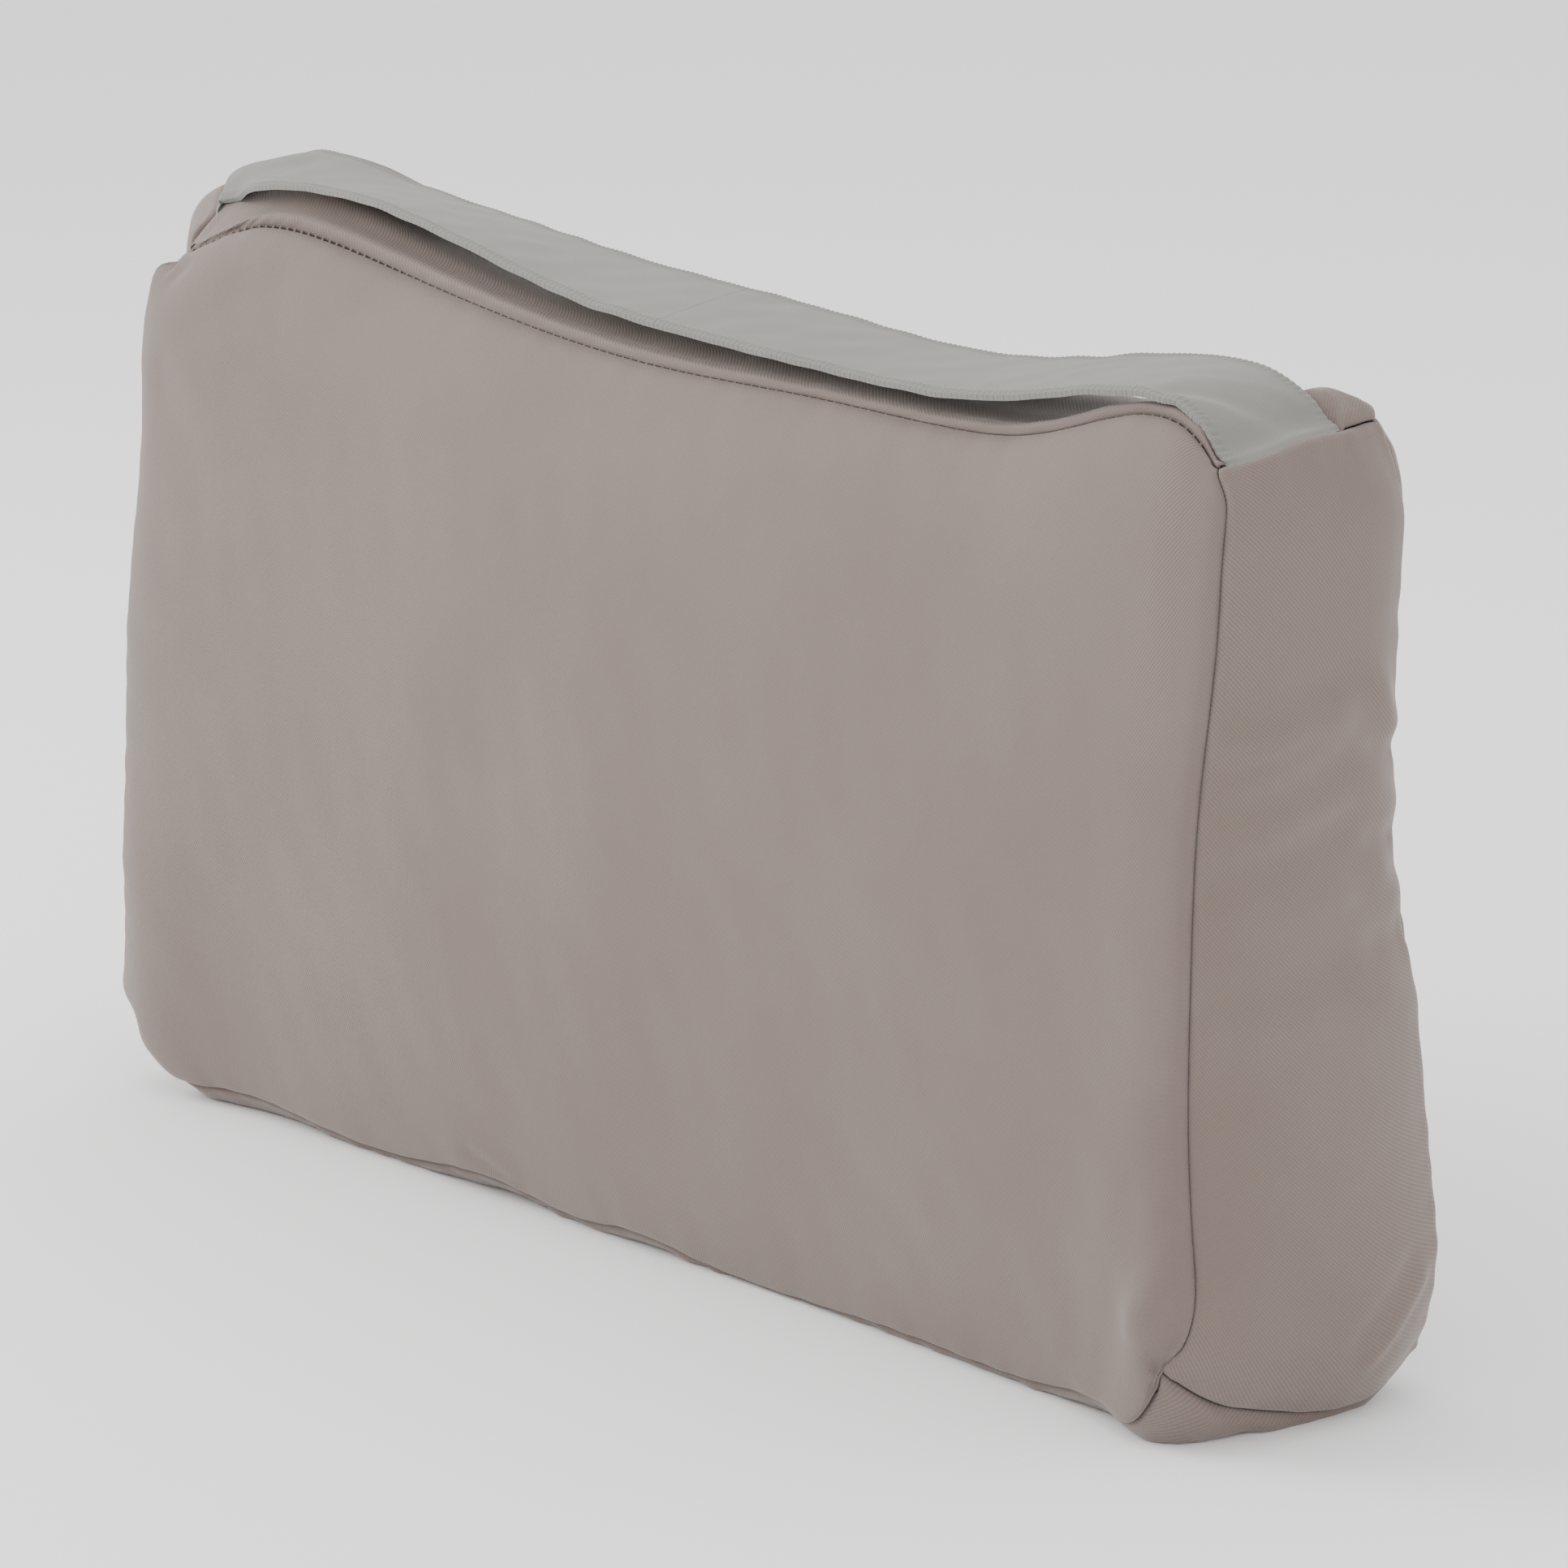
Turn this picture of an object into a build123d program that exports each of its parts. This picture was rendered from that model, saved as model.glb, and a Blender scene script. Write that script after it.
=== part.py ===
from build123d import *
import os
from collections import namedtuple

# Lumbar support cushion: a wedge-shaped pad in a boxed twill cover with a carrying strap.
#
# Frame: +Z up, the lumbar face looks along -Y, the strap runs along X over the top.
# The origin is at the middle of the base. All sizes are in millimetres.
#
# The cover, the liner, the wadding and the core are nested layers. Each layer is the same
# wedge-shaped box, drawn in from the outside by an Inset, so neighbouring panels meet face
# to face along their mitred seams.

# ---- the wedge -----------------------------------------------------------------------
HALF_WIDTH = 198.0          # middle to end seam, at the top and bottom corners
HALF_WIDTH_AT_ZIP = 203.0   # middle to end seam at the height of the zip
END_SEAM_BOW = 5.0          # how far the front end seams stand out half-way up
FRONT_SEAM_BOTTOM = (-30.5, 6.0)   # y and height of the front bottom seam
FRONT_SEAM_TOP = (-19.5, 226.0)
BACK_SEAM_BOTTOM = (41.5, 8.0)
BACK_SEAM_TOP = (23.5, 228.0)
ZIP_Y = 28.5                # the back is drawn in along the zip
ZIP_HEIGHT = 126.0
ZIP_SLOT = 9.0              # gap between the two back panels
TOP_SAG_FRONT = 7.0         # the top seams hang between the two top corners
TOP_SAG_BACK = 4.0
FRONT_SEAM_BOW = -7.0       # seams seen from the end: they bow out of the straight line
BACK_BOW_LOW = 4.5
BACK_BOW_HIGH = 3.5
REST_HALF_LENGTH = 172.0    # flat area that the cushion stands on
REST_FRONT = -16.5
REST_BACK = 27.5

# ---- how far each face stands proud of its seams ---------------------------------------
FRONT_CROWN = 12.0
BACK_CROWN_LOW = 6.0
BACK_CROWN_HIGH = 7.0
END_CROWN = 6.0
TOP_CROWN = 1.0

# ---- layers ----------------------------------------------------------------------------
COVER_THICKNESS = 0.8
LINER_THICKNESS = 0.5
LAYER_GAP = 1.0
ZIP_POCKET = 7.0            # room behind the back cover for the inside of the zip
WADDING_FRONT = 10.0
WADDING_BACK = 7.0
CORE_END_GAP = 4.0          # the foam stops short of the liner at both ends

# ---- strap -----------------------------------------------------------------------------
STRAP_WIDTH = 30.0
STRAP_THICKNESS = 1.2
STRAP_FRONT_Y = -19.0
STRAP_GRIP_HALF_LENGTH = 110.0      # the stretch that lifts; the rest are the two legs
STRAP_CUTTER_HEIGHT = 300.0         # the boxes that cut it there are taller than the cushion
# top line of the strap from the left end seam to the right one: (x, height)
STRAP_LINE = [
    (-197.0, 229.8),
    (-188.0, 240.0),
    (-165.0, 248.0),
    (-132.0, 246.5),
    (-92.0, 240.0),
    (-40.0, 232.0),
    (10.0, 228.0),
    (60.0, 226.2),
    (105.0, 226.2),
    (138.0, 230.0),
    (163.0, 234.5),
    (182.0, 235.0),
    (192.0, 232.5),
    (197.0, 229.8),
]

# ---- zip -------------------------------------------------------------------------------
TAPE_HALF_LENGTH = 200.0
TAPE_WIDTH = 14.0
TAPE_THICKNESS = 0.6
TAPE_GAP = 1.0              # between the two tapes, and between the two rows of coil
COIL_HALF_LENGTH = 189.0
COIL_WIDTH = 2.5            # one row
COIL_THICKNESS = 2.0
COIL_ROUNDING = 0.5
COIL_Y = 27.7               # middle of the chain
STOP_LENGTH = 2.5
STOP_THICKNESS = 2.4
SLIDER_X = 182.0            # closed position
SLIDER_LENGTH = 11.0
SLIDER_WIDTH = 8.4
SLIDER_PLATE = 0.9
SLIDER_CLEARANCE = 0.25     # between the slider and the chain
SLIDER_LIP = 0.7            # the lips that wrap round the chain
SLIDER_CORNER = 2.1         # radius of its four corners
SLIDER_POST_LENGTH = 5.0
SLIDER_POST_THICKNESS = 0.5
SLIDER_POST_FROM_END = 1.0
BRIDGE_LENGTH = 7.2
BRIDGE_WIDTH = 2.0
BRIDGE_HEIGHT = 3.0
BRIDGE_BAR = 0.9
PULL_THICKNESS = 1.0
PULL_WIDTH = 7.0
PULL_LENGTH = 26.0
PULL_EYE_LENGTH = 4.8
PULL_ARM = 1.2
PULL_CORNER = 2.8
PULL_BAR = 1.1

Inset = namedtuple("Inset", "side front back cap")
LEFT = -1
RIGHT = 1


def inset_by(depth):
    """The same inset on every face."""
    return Inset(depth, depth, depth, depth)


def seam_point(side, place, inset):
    """A corner of a layer: side is LEFT or RIGHT, place names where on the end outline."""
    y_front_bottom, z_front_bottom = FRONT_SEAM_BOTTOM
    y_front_top, z_front_top = FRONT_SEAM_TOP
    y_back_bottom, z_back_bottom = BACK_SEAM_BOTTOM
    y_back_top, z_back_top = BACK_SEAM_TOP
    half, y, z = {
        "front_bottom": (HALF_WIDTH, y_front_bottom + inset.front, z_front_bottom + inset.cap),
        "front_top": (HALF_WIDTH, y_front_top + inset.front, z_front_top - inset.cap),
        "back_top": (HALF_WIDTH, y_back_top - inset.back, z_back_top - inset.cap),
        "zip_high": (HALF_WIDTH_AT_ZIP, ZIP_Y - inset.back, ZIP_HEIGHT + ZIP_SLOT / 2),
        "zip_low": (HALF_WIDTH_AT_ZIP, ZIP_Y - inset.back, ZIP_HEIGHT - ZIP_SLOT / 2),
        "back_bottom": (HALF_WIDTH, y_back_bottom - inset.back, z_back_bottom + inset.cap),
    }[place]
    return Vector(side * (half - inset.side), y, z)


def bowed_edge(start, end, bow=Vector(0, 0, 0)):
    """A seam from start to end whose middle stands out by bow."""
    if bow.length == 0:
        return Line(start, end)
    return ThreePointArc(start, (start + end) / 2 + bow, end)


# seams that run along X, with the bow of their middle
LONG_SEAMS = {
    "front_bottom": Vector(0, 0, 0),
    "front_top": Vector(0, 0, -TOP_SAG_FRONT),
    "back_top": Vector(0, 0, -TOP_SAG_BACK),
    "zip_high": Vector(0, 0, 0),
    "zip_low": Vector(0, 0, 0),
    "back_bottom": Vector(0, 0, 0),
}
# seams round each end: from, to, bow outwards along X, bow along Y
END_SEAMS = {
    "end_front": ("front_bottom", "front_top", END_SEAM_BOW, FRONT_SEAM_BOW),
    "end_top": ("front_top", "back_top", 0, 0),
    "end_back_high": ("back_top", "zip_high", 0, BACK_BOW_HIGH),
    "end_zip": ("zip_high", "zip_low", 0, 0),
    "end_back_low": ("zip_low", "back_bottom", 0, BACK_BOW_LOW),
    "end_bottom": ("back_bottom", "front_bottom", 0, 0),
}


def long_seam(name, inset):
    """One of the seams along the cushion."""
    start = seam_point(LEFT, name, inset)
    end = seam_point(RIGHT, name, inset)
    return bowed_edge(start, end, LONG_SEAMS[name])


def end_seam(side, name, inset):
    """One of the seams round an end."""
    first, last, bow_x, bow_y = END_SEAMS[name]
    start = seam_point(side, first, inset)
    end = seam_point(side, last, inset)
    return bowed_edge(start, end, Vector(side * bow_x, bow_y, 0))


def seam(name, inset):
    """A seam by name: a long one, or an end one as ('end_front', LEFT)."""
    if isinstance(name, tuple):
        return end_seam(name[1], name[0], inset)
    return long_seam(name, inset)


def crowned_face(seam_names, crown, inset):
    """A smooth face inside its seams, standing proud in the middle by crown."""
    edges = [seam(name, inset) for name in seam_names]
    middle = sum((edge @ 0.5 for edge in edges), Vector(0, 0, 0)) / len(edges)
    if len(edges) == 4:
        corners = sum((edge @ 0 + edge @ 1 for edge in edges), Vector(0, 0, 0)) / 8
        middle = middle * 2 - corners
    return Face.make_surface(Wire(edges), surface_points=[middle + crown])


def panel_seams(low, high, end_names):
    """The seams round a panel that runs the length of the cushion."""
    right = [(name, RIGHT) for name in end_names]
    left = [(name, LEFT) for name in reversed(end_names)]
    return [low] + right + [high] + left


FRONT_SEAMS = panel_seams("front_bottom", "front_top", ["end_front"])
TOP_SEAMS = panel_seams("front_top", "back_top", ["end_top"])
BACK_HIGH_SEAMS = panel_seams("zip_high", "back_top", ["end_back_high"])
BACK_LOW_SEAMS = panel_seams("back_bottom", "zip_low", ["end_back_low"])
ZIP_STRIP_SEAMS = panel_seams("zip_low", "zip_high", ["end_zip"])
BACK_SEAMS = panel_seams("back_bottom", "back_top", ["end_back_low", "end_zip", "end_back_high"])
BOTTOM_SEAMS = panel_seams("front_bottom", "back_bottom", ["end_bottom"])


def front_faces(inset):
    return [crowned_face(FRONT_SEAMS, Vector(0, -FRONT_CROWN, 0), inset)]


def top_faces(inset):
    return [crowned_face(TOP_SEAMS, Vector(0, 0, TOP_CROWN), inset)]


def back_high_faces(inset):
    return [crowned_face(BACK_HIGH_SEAMS, Vector(0, BACK_CROWN_HIGH, 0), inset)]


def back_low_faces(inset):
    return [crowned_face(BACK_LOW_SEAMS, Vector(0, BACK_CROWN_LOW, 0), inset)]


def zip_strip_faces(inset):
    return [Face(Wire([seam(name, inset) for name in ZIP_STRIP_SEAMS]))]


def back_faces(inset):
    return back_low_faces(inset) + zip_strip_faces(inset) + back_high_faces(inset)


def end_faces(side, inset):
    names = [(name, side) for name in END_SEAMS]
    return [crowned_face(names, Vector(side * END_CROWN, 0, 0), inset)]


def bottom_faces(inset):
    """A flat area to stand on, and four slopes up to the bottom seams."""
    corners = {
        (side, place): Vector(side * REST_HALF_LENGTH, y, inset.cap)
        for side in (LEFT, RIGHT)
        for place, y in (("front_bottom", REST_FRONT), ("back_bottom", REST_BACK))
    }
    sides = {
        name: Line(corners[LEFT, name], corners[RIGHT, name])
        for name in ("front_bottom", "back_bottom")
    }
    ends = {
        side: Line(corners[side, "back_bottom"], corners[side, "front_bottom"])
        for side in (LEFT, RIGHT)
    }
    flat = Face(Wire(list(sides.values()) + list(ends.values())))
    slopes = [
        Face.make_surface_from_curves(long_seam(name, inset), sides[name]) for name in sides
    ]
    slopes += [
        Face.make_surface_from_curves(end_seam(side, "end_bottom", inset), ends[side])
        for side in ends
    ]
    return [flat] + slopes


def panel(make_faces, seam_names, outer, inner):
    """A closed sheet between two insets, mitred along its seams."""
    faces = make_faces(outer) + make_faces(inner)
    for name in seam_names:
        faces.append(Face.make_surface_from_curves(seam(name, outer), seam(name, inner)))
    return Solid(Shell(faces))


def end_panel(side, outer, inner):
    names = [(name, side) for name in END_SEAMS]
    return panel(lambda inset: end_faces(side, inset), names, outer, inner)


def all_faces(inset):
    return (
        front_faces(inset)
        + back_faces(inset)
        + top_faces(inset)
        + bottom_faces(inset)
        + end_faces(LEFT, inset)
        + end_faces(RIGHT, inset)
    )


def band_faces(inset):
    """The boxing band of the liner: top, bottom and both ends in one ring."""
    return (
        top_faces(inset) + bottom_faces(inset) + end_faces(LEFT, inset) + end_faces(RIGHT, inset)
    )


def cover():
    """The removable twill cover, seven cut panels."""
    outer = inset_by(0)
    inner = inset_by(COVER_THICKNESS)
    return {
        "front_panel": panel(front_faces, FRONT_SEAMS, outer, inner),
        "back_panel_upper": panel(back_high_faces, BACK_HIGH_SEAMS, outer, inner),
        "back_panel_lower": panel(back_low_faces, BACK_LOW_SEAMS, outer, inner),
        "top_gusset": panel(top_faces, TOP_SEAMS, outer, inner),
        "bottom_gusset": panel(bottom_faces, BOTTOM_SEAMS, outer, inner),
        "left_gusset": end_panel(LEFT, outer, inner),
        "right_gusset": end_panel(RIGHT, outer, inner),
    }


def filling():
    """The liner bag, the wadding and the foam core, from the outside in."""
    start = COVER_THICKNESS + LAYER_GAP
    liner_out = Inset(start, start, ZIP_POCKET, start)
    liner_in = Inset(*[depth + LINER_THICKNESS for depth in liner_out])
    pad_out = Inset(*[depth + LAYER_GAP for depth in liner_in])
    front_pad_in = pad_out._replace(front=pad_out.front + WADDING_FRONT)
    back_pad_in = pad_out._replace(back=pad_out.back + WADDING_BACK)
    core = Inset(
        pad_out.side + CORE_END_GAP,
        front_pad_in.front + LAYER_GAP,
        back_pad_in.back + LAYER_GAP,
        pad_out.cap + LAYER_GAP,
    )
    return {
        "liner_front": panel(front_faces, FRONT_SEAMS, liner_out, liner_in),
        "liner_back": panel(back_faces, BACK_SEAMS, liner_out, liner_in),
        "liner_band": panel(band_faces, FRONT_SEAMS + BACK_SEAMS, liner_out, liner_in),
        "wadding_front": panel(front_faces, FRONT_SEAMS, pad_out, front_pad_in),
        "wadding_back": panel(back_faces, BACK_SEAMS, pad_out, back_pad_in),
        "foam_core": Solid(Shell(all_faces(core))),
    }


def block(x, y, z):
    """A box between two limits on each axis."""
    size = [high - low for low, high in (x, y, z)]
    middle = [(high + low) / 2 for low, high in (x, y, z)]
    return Pos(*middle) * Box(*size)


def strap():
    """One woven tape, cut where the lifting stretch meets the two legs."""
    top = [Vector(x, STRAP_FRONT_Y, z) for x, z in STRAP_LINE]
    drop = Vector(0, 0, -STRAP_THICKNESS)
    bottom = [point + drop for point in reversed(top)]
    outline = Wire([
        Spline(*top),
        Line(top[-1], bottom[0]),
        Spline(*bottom),
        Line(bottom[-1], top[0]),
    ])
    band = extrude(Face(outline), amount=STRAP_WIDTH, dir=(0, 1, 0))
    y = (STRAP_FRONT_Y, STRAP_FRONT_Y + STRAP_WIDTH)
    z = (0, STRAP_CUTTER_HEIGHT)
    cuts = {
        "strap_left_leg": (-HALF_WIDTH, -STRAP_GRIP_HALF_LENGTH),
        "strap_grip": (-STRAP_GRIP_HALF_LENGTH, STRAP_GRIP_HALF_LENGTH),
        "strap_right_leg": (STRAP_GRIP_HALF_LENGTH, HALF_WIDTH),
    }
    return {name: (band & block(x, y, z)).solid() for name, x in cuts.items()}


def tape(direction):
    """One zip tape: a flat strip that starts at the chain and runs up or down behind the cover."""
    back = COIL_Y - COIL_THICKNESS / 2 - TAPE_THICKNESS
    start = ZIP_HEIGHT + direction * TAPE_GAP / 2
    end = start + direction * TAPE_WIDTH
    x = (-TAPE_HALF_LENGTH, TAPE_HALF_LENGTH)
    return block(x, (back, back + TAPE_THICKNESS), tuple(sorted((start, end))))


def coil(direction):
    """One row of the coil, as the rounded bar that it fills."""
    z = ZIP_HEIGHT + direction * (TAPE_GAP + COIL_WIDTH) / 2
    bar = Pos(0, COIL_Y, z) * Box(2 * COIL_HALF_LENGTH, COIL_THICKNESS, COIL_WIDTH)
    return fillet(bar.edges().filter_by(Axis.X), COIL_ROUNDING)


def stops():
    """Two stops where the zip closes, one across both rows where it opens."""
    y = (COIL_Y - COIL_THICKNESS / 2, COIL_Y - COIL_THICKNESS / 2 + STOP_THICKNESS)
    start = COIL_HALF_LENGTH + SLIDER_CLEARANCE
    close_x = (start, start + STOP_LENGTH)
    open_x = (-start - STOP_LENGTH, -start)
    inner = TAPE_GAP / 2
    outer = inner + COIL_WIDTH
    return {
        "zip_closed_stops": Compound([
            block(close_x, y, (ZIP_HEIGHT + inner, ZIP_HEIGHT + outer)),
            block(close_x, y, (ZIP_HEIGHT - outer, ZIP_HEIGHT - inner)),
        ]),
        "zip_open_stop": block(open_x, y, (ZIP_HEIGHT - outer, ZIP_HEIGHT + outer)),
    }


def slider():
    """The slider: two plates joined by a thin post, lips round the chain and a bridge."""
    x = (SLIDER_X - SLIDER_LENGTH / 2, SLIDER_X + SLIDER_LENGTH / 2)
    z = (ZIP_HEIGHT - SLIDER_WIDTH / 2, ZIP_HEIGHT + SLIDER_WIDTH / 2)
    front = COIL_Y + COIL_THICKNESS / 2 + SLIDER_CLEARANCE
    back = COIL_Y - COIL_THICKNESS / 2 - TAPE_THICKNESS - SLIDER_CLEARANCE
    lip_end = COIL_Y - COIL_THICKNESS / 2 + SLIDER_CLEARANCE
    body = block(x, (front, front + SLIDER_PLATE), z)
    body += block(x, (back - SLIDER_PLATE, back), z)
    body = fillet(body.edges().filter_by(Axis.Y), SLIDER_CORNER)
    for edge in z:
        inward = SLIDER_LIP if edge < ZIP_HEIGHT else -SLIDER_LIP
        lip_x = (x[0] + SLIDER_CORNER, x[1] - SLIDER_CORNER)
        body += block(lip_x, (lip_end, front), tuple(sorted((edge, edge + inward))))
    post_end = x[1] - SLIDER_POST_FROM_END
    post_x = (post_end - SLIDER_POST_LENGTH, post_end)
    half_post = SLIDER_POST_THICKNESS / 2
    body += block(post_x, (back, front), (ZIP_HEIGHT - half_post, ZIP_HEIGHT + half_post))
    plate = front + SLIDER_PLATE
    half_bridge = BRIDGE_LENGTH / 2
    bridge_z = (ZIP_HEIGHT - BRIDGE_WIDTH / 2, ZIP_HEIGHT + BRIDGE_WIDTH / 2)
    staple = block(
        (SLIDER_X - half_bridge, SLIDER_X + half_bridge), (plate, plate + BRIDGE_HEIGHT), bridge_z
    )
    staple -= block(
        (SLIDER_X - half_bridge + BRIDGE_BAR, SLIDER_X + half_bridge - BRIDGE_BAR),
        (plate, plate + BRIDGE_HEIGHT - BRIDGE_BAR),
        bridge_z,
    )
    return (body + staple).solid()


def pull_pivot():
    """The middle of the pull's cross bar, inside the bridge."""
    plate = COIL_Y + COIL_THICKNESS / 2 + SLIDER_CLEARANCE + SLIDER_PLATE
    return Vector(SLIDER_X, plate + (BRIDGE_HEIGHT - BRIDGE_BAR) / 2, ZIP_HEIGHT)


def pull():
    """The pull: a flat tab with an eye, lying back along the chain."""
    pivot = pull_pivot()
    y = (pivot.Y - PULL_THICKNESS / 2, pivot.Y + PULL_THICKNESS / 2)
    z = (ZIP_HEIGHT - PULL_WIDTH / 2, ZIP_HEIGHT + PULL_WIDTH / 2)
    eye_z = (z[0] + PULL_ARM, z[1] - PULL_ARM)
    near = pivot.X + PULL_BAR / 2
    far = near - PULL_LENGTH
    eye = (near - PULL_BAR - PULL_EYE_LENGTH, near - PULL_BAR)
    tab = block((far, near), y, z)
    tab = fillet(tab.edges().filter_by(Axis.Y).group_by(Axis.X)[0], PULL_CORNER)
    return (tab - block(eye, y, eye_z)).solid()


def zip_fastener():
    """The zip across the middle of the back."""
    pieces = {
        "zip_tape_upper": tape(1),
        "zip_tape_lower": tape(-1),
        "zip_coil_upper": coil(1),
        "zip_coil_lower": coil(-1),
        "zip_slider": slider(),
        "zip_pull": pull(),
    }
    pieces.update(stops())
    return pieces


def main():
    """Write every node to its own file."""
    os.makedirs("parts", exist_ok=True)
    nodes = {**cover(), **filling(), **strap(), **zip_fastener()}
    for name, shape in nodes.items():
        export_step(shape, f"parts/{name}.step")


main()
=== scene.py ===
import math
import bpy
import numpy as np
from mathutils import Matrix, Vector


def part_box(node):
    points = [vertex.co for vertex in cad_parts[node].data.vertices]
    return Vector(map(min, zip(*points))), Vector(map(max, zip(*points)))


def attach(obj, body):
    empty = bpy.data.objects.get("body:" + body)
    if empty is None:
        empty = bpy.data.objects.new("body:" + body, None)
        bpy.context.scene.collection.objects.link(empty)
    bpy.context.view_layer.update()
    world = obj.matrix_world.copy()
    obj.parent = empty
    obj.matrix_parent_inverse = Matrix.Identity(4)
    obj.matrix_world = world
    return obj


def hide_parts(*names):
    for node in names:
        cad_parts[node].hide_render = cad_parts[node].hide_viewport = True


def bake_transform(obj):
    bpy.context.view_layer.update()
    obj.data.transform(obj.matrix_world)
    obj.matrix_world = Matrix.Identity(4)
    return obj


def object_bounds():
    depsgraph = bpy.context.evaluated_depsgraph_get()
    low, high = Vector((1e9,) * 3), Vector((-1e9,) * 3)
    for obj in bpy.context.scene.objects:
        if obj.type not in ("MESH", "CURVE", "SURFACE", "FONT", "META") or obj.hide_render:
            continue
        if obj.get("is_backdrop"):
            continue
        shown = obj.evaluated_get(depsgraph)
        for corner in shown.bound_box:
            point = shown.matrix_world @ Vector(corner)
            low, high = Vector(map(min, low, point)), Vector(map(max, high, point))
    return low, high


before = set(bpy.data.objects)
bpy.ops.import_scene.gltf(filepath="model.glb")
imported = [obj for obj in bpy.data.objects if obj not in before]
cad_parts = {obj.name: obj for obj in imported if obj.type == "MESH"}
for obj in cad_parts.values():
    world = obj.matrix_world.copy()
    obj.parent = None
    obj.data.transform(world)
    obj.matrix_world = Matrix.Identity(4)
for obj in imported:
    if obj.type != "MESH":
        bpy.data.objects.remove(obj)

CAD_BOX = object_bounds()
MM = 0.001

# ---------------- places from the frame
X, Y, Z = range(3)
LOW, HIGH = range(2)
LEFT, RIGHT = -1, 1
FRONT_BOX, TOP_BOX, BOTTOM_BOX, BACK_LOW_BOX, BACK_HIGH_BOX, STRAP_BOX = (
    np.array(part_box(node)) for node in (
        "front_panel", "top_gusset", "bottom_gusset", "back_panel_lower", "back_panel_upper",
        "strap_grip",
    )
)
COIL_BOX = {row: np.array(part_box("zip_coil_" + row)) for row in ("upper", "lower")}
TAPE_BOX = {row: np.array(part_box("zip_tape_" + row)) for row in ("upper", "lower")}

HALF_WIDTH = TOP_BOX[HIGH, X]
FRONT_TOP = np.array([TOP_BOX[LOW, Y], FRONT_BOX[HIGH, Z]])
FRONT_BOTTOM = np.array([BOTTOM_BOX[LOW, Y], FRONT_BOX[LOW, Z]])
BACK_TOP = np.array([TOP_BOX[HIGH, Y], BACK_HIGH_BOX[HIGH, Z]])
BACK_BOTTOM = np.array([BOTTOM_BOX[HIGH, Y], BACK_LOW_BOX[LOW, Z]])
ZIP_HEIGHT = (BACK_LOW_BOX[HIGH, Z] + BACK_HIGH_BOX[LOW, Z]) / 2
ZIP_Y = COIL_BOX["upper"][HIGH, Y]
ZIP_OUT = 4 * MM            # the end seams stand further out at the height of the zip
HEM_FROM_ZIP = 5.2 * MM     # from the zip's middle to the folded edge of each back panel
ZIP_SEWN_IN = 2 * MM        # the tapes run on past their CAD ends into the end seams
COVER_CLEAR_OF_ZIP = 0.7 * MM
ZIP_END = 192 * MM          # past the stops, tape and hems turn in towards the end seams
ZIP_TUCK = 3.4 * MM
CLOTH_THICKNESS = 0.6 * MM

# ---------------- curves and noise
CROWDING = 0.35             # how much closer the grid lines are beside the seams


def crowded(count):
    """Numbers from 0 to 1 that lie closer together towards both ends."""
    t = np.linspace(0, 1, count)
    return t - CROWDING * np.sin(2 * math.pi * t) / (2 * math.pi)


def spline_weights(knots, at):
    """The matrix that takes values at knots to a natural cubic spline's values at `at`."""
    knots = np.asarray(knots, float)
    at = np.clip(np.asarray(at, float), knots[0], knots[-1])
    count = len(knots)
    step = np.diff(knots)
    left = np.eye(count)
    right = np.zeros((count, count))
    for k in range(1, count - 1):
        before, after = step[k - 1], step[k]
        left[k, k - 1:k + 2] = before, 2 * (before + after), after
        right[k, k - 1:k + 2] = 6 / before, -6 / before - 6 / after, 6 / after
    bend = np.linalg.solve(left, right)
    cell = np.clip(np.searchsorted(knots, at, side="right") - 1, 0, count - 2)
    width = step[cell]
    b = (at - knots[cell]) / width
    a = 1 - b
    identity = np.eye(count)
    out = a[:, None] * identity[cell] + b[:, None] * identity[cell + 1]
    out += ((a**3 - a) * width**2 / 6)[:, None] * bend[cell]
    out += ((b**3 - b) * width**2 / 6)[:, None] * bend[cell + 1]
    return out


def through(points, at):
    """A smooth curve of values through (place, value, ...) points, given in millimetres."""
    table = np.array(points, float) * MM
    return (spline_weights(table[:, 0], at.ravel()) @ table[:, 1:]).reshape(*at.shape, -1)


def ripples(a, b, seed, shortest, longest, waves=7):
    """Smooth unevenness about zero: a few seeded plane waves, lengths in millimetres."""
    random = np.random.default_rng(seed)
    total = 0
    for _ in range(waves):
        angle = random.uniform(0, 2 * math.pi)
        length = random.uniform(shortest, longest) * MM
        phase = random.uniform(0, 2 * math.pi)
        along = a * math.cos(angle) + b * math.sin(angle)
        total = total + np.sin(2 * math.pi * along / length + phase)
    return total / math.sqrt(waves)


def bell(distance, width, centre=0):
    """1 at the centre, fading to 0 on both sides; the width and centre are in millimetres."""
    return np.exp(-(((distance - centre * MM) / (width * MM)) ** 2))


def crease(a, b, line):
    """A soft ridge or valley along a short line: (a0, b0, a1, b1, width, height) in mm."""
    a0, b0, a1, b1, width, height = [value * MM for value in line]
    length = math.hypot(a1 - a0, b1 - b0)
    along = ((a - a0) * (a1 - a0) + (b - b0) * (b1 - b0)) / length
    across = ((a - a0) * (b1 - b0) - (b - b0) * (a1 - a0)) / length
    beyond = np.maximum(np.maximum(-along, along - length), 0)
    return height * np.exp(-((across / width) ** 2) - (beyond / (1.6 * width)) ** 2)


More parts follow.
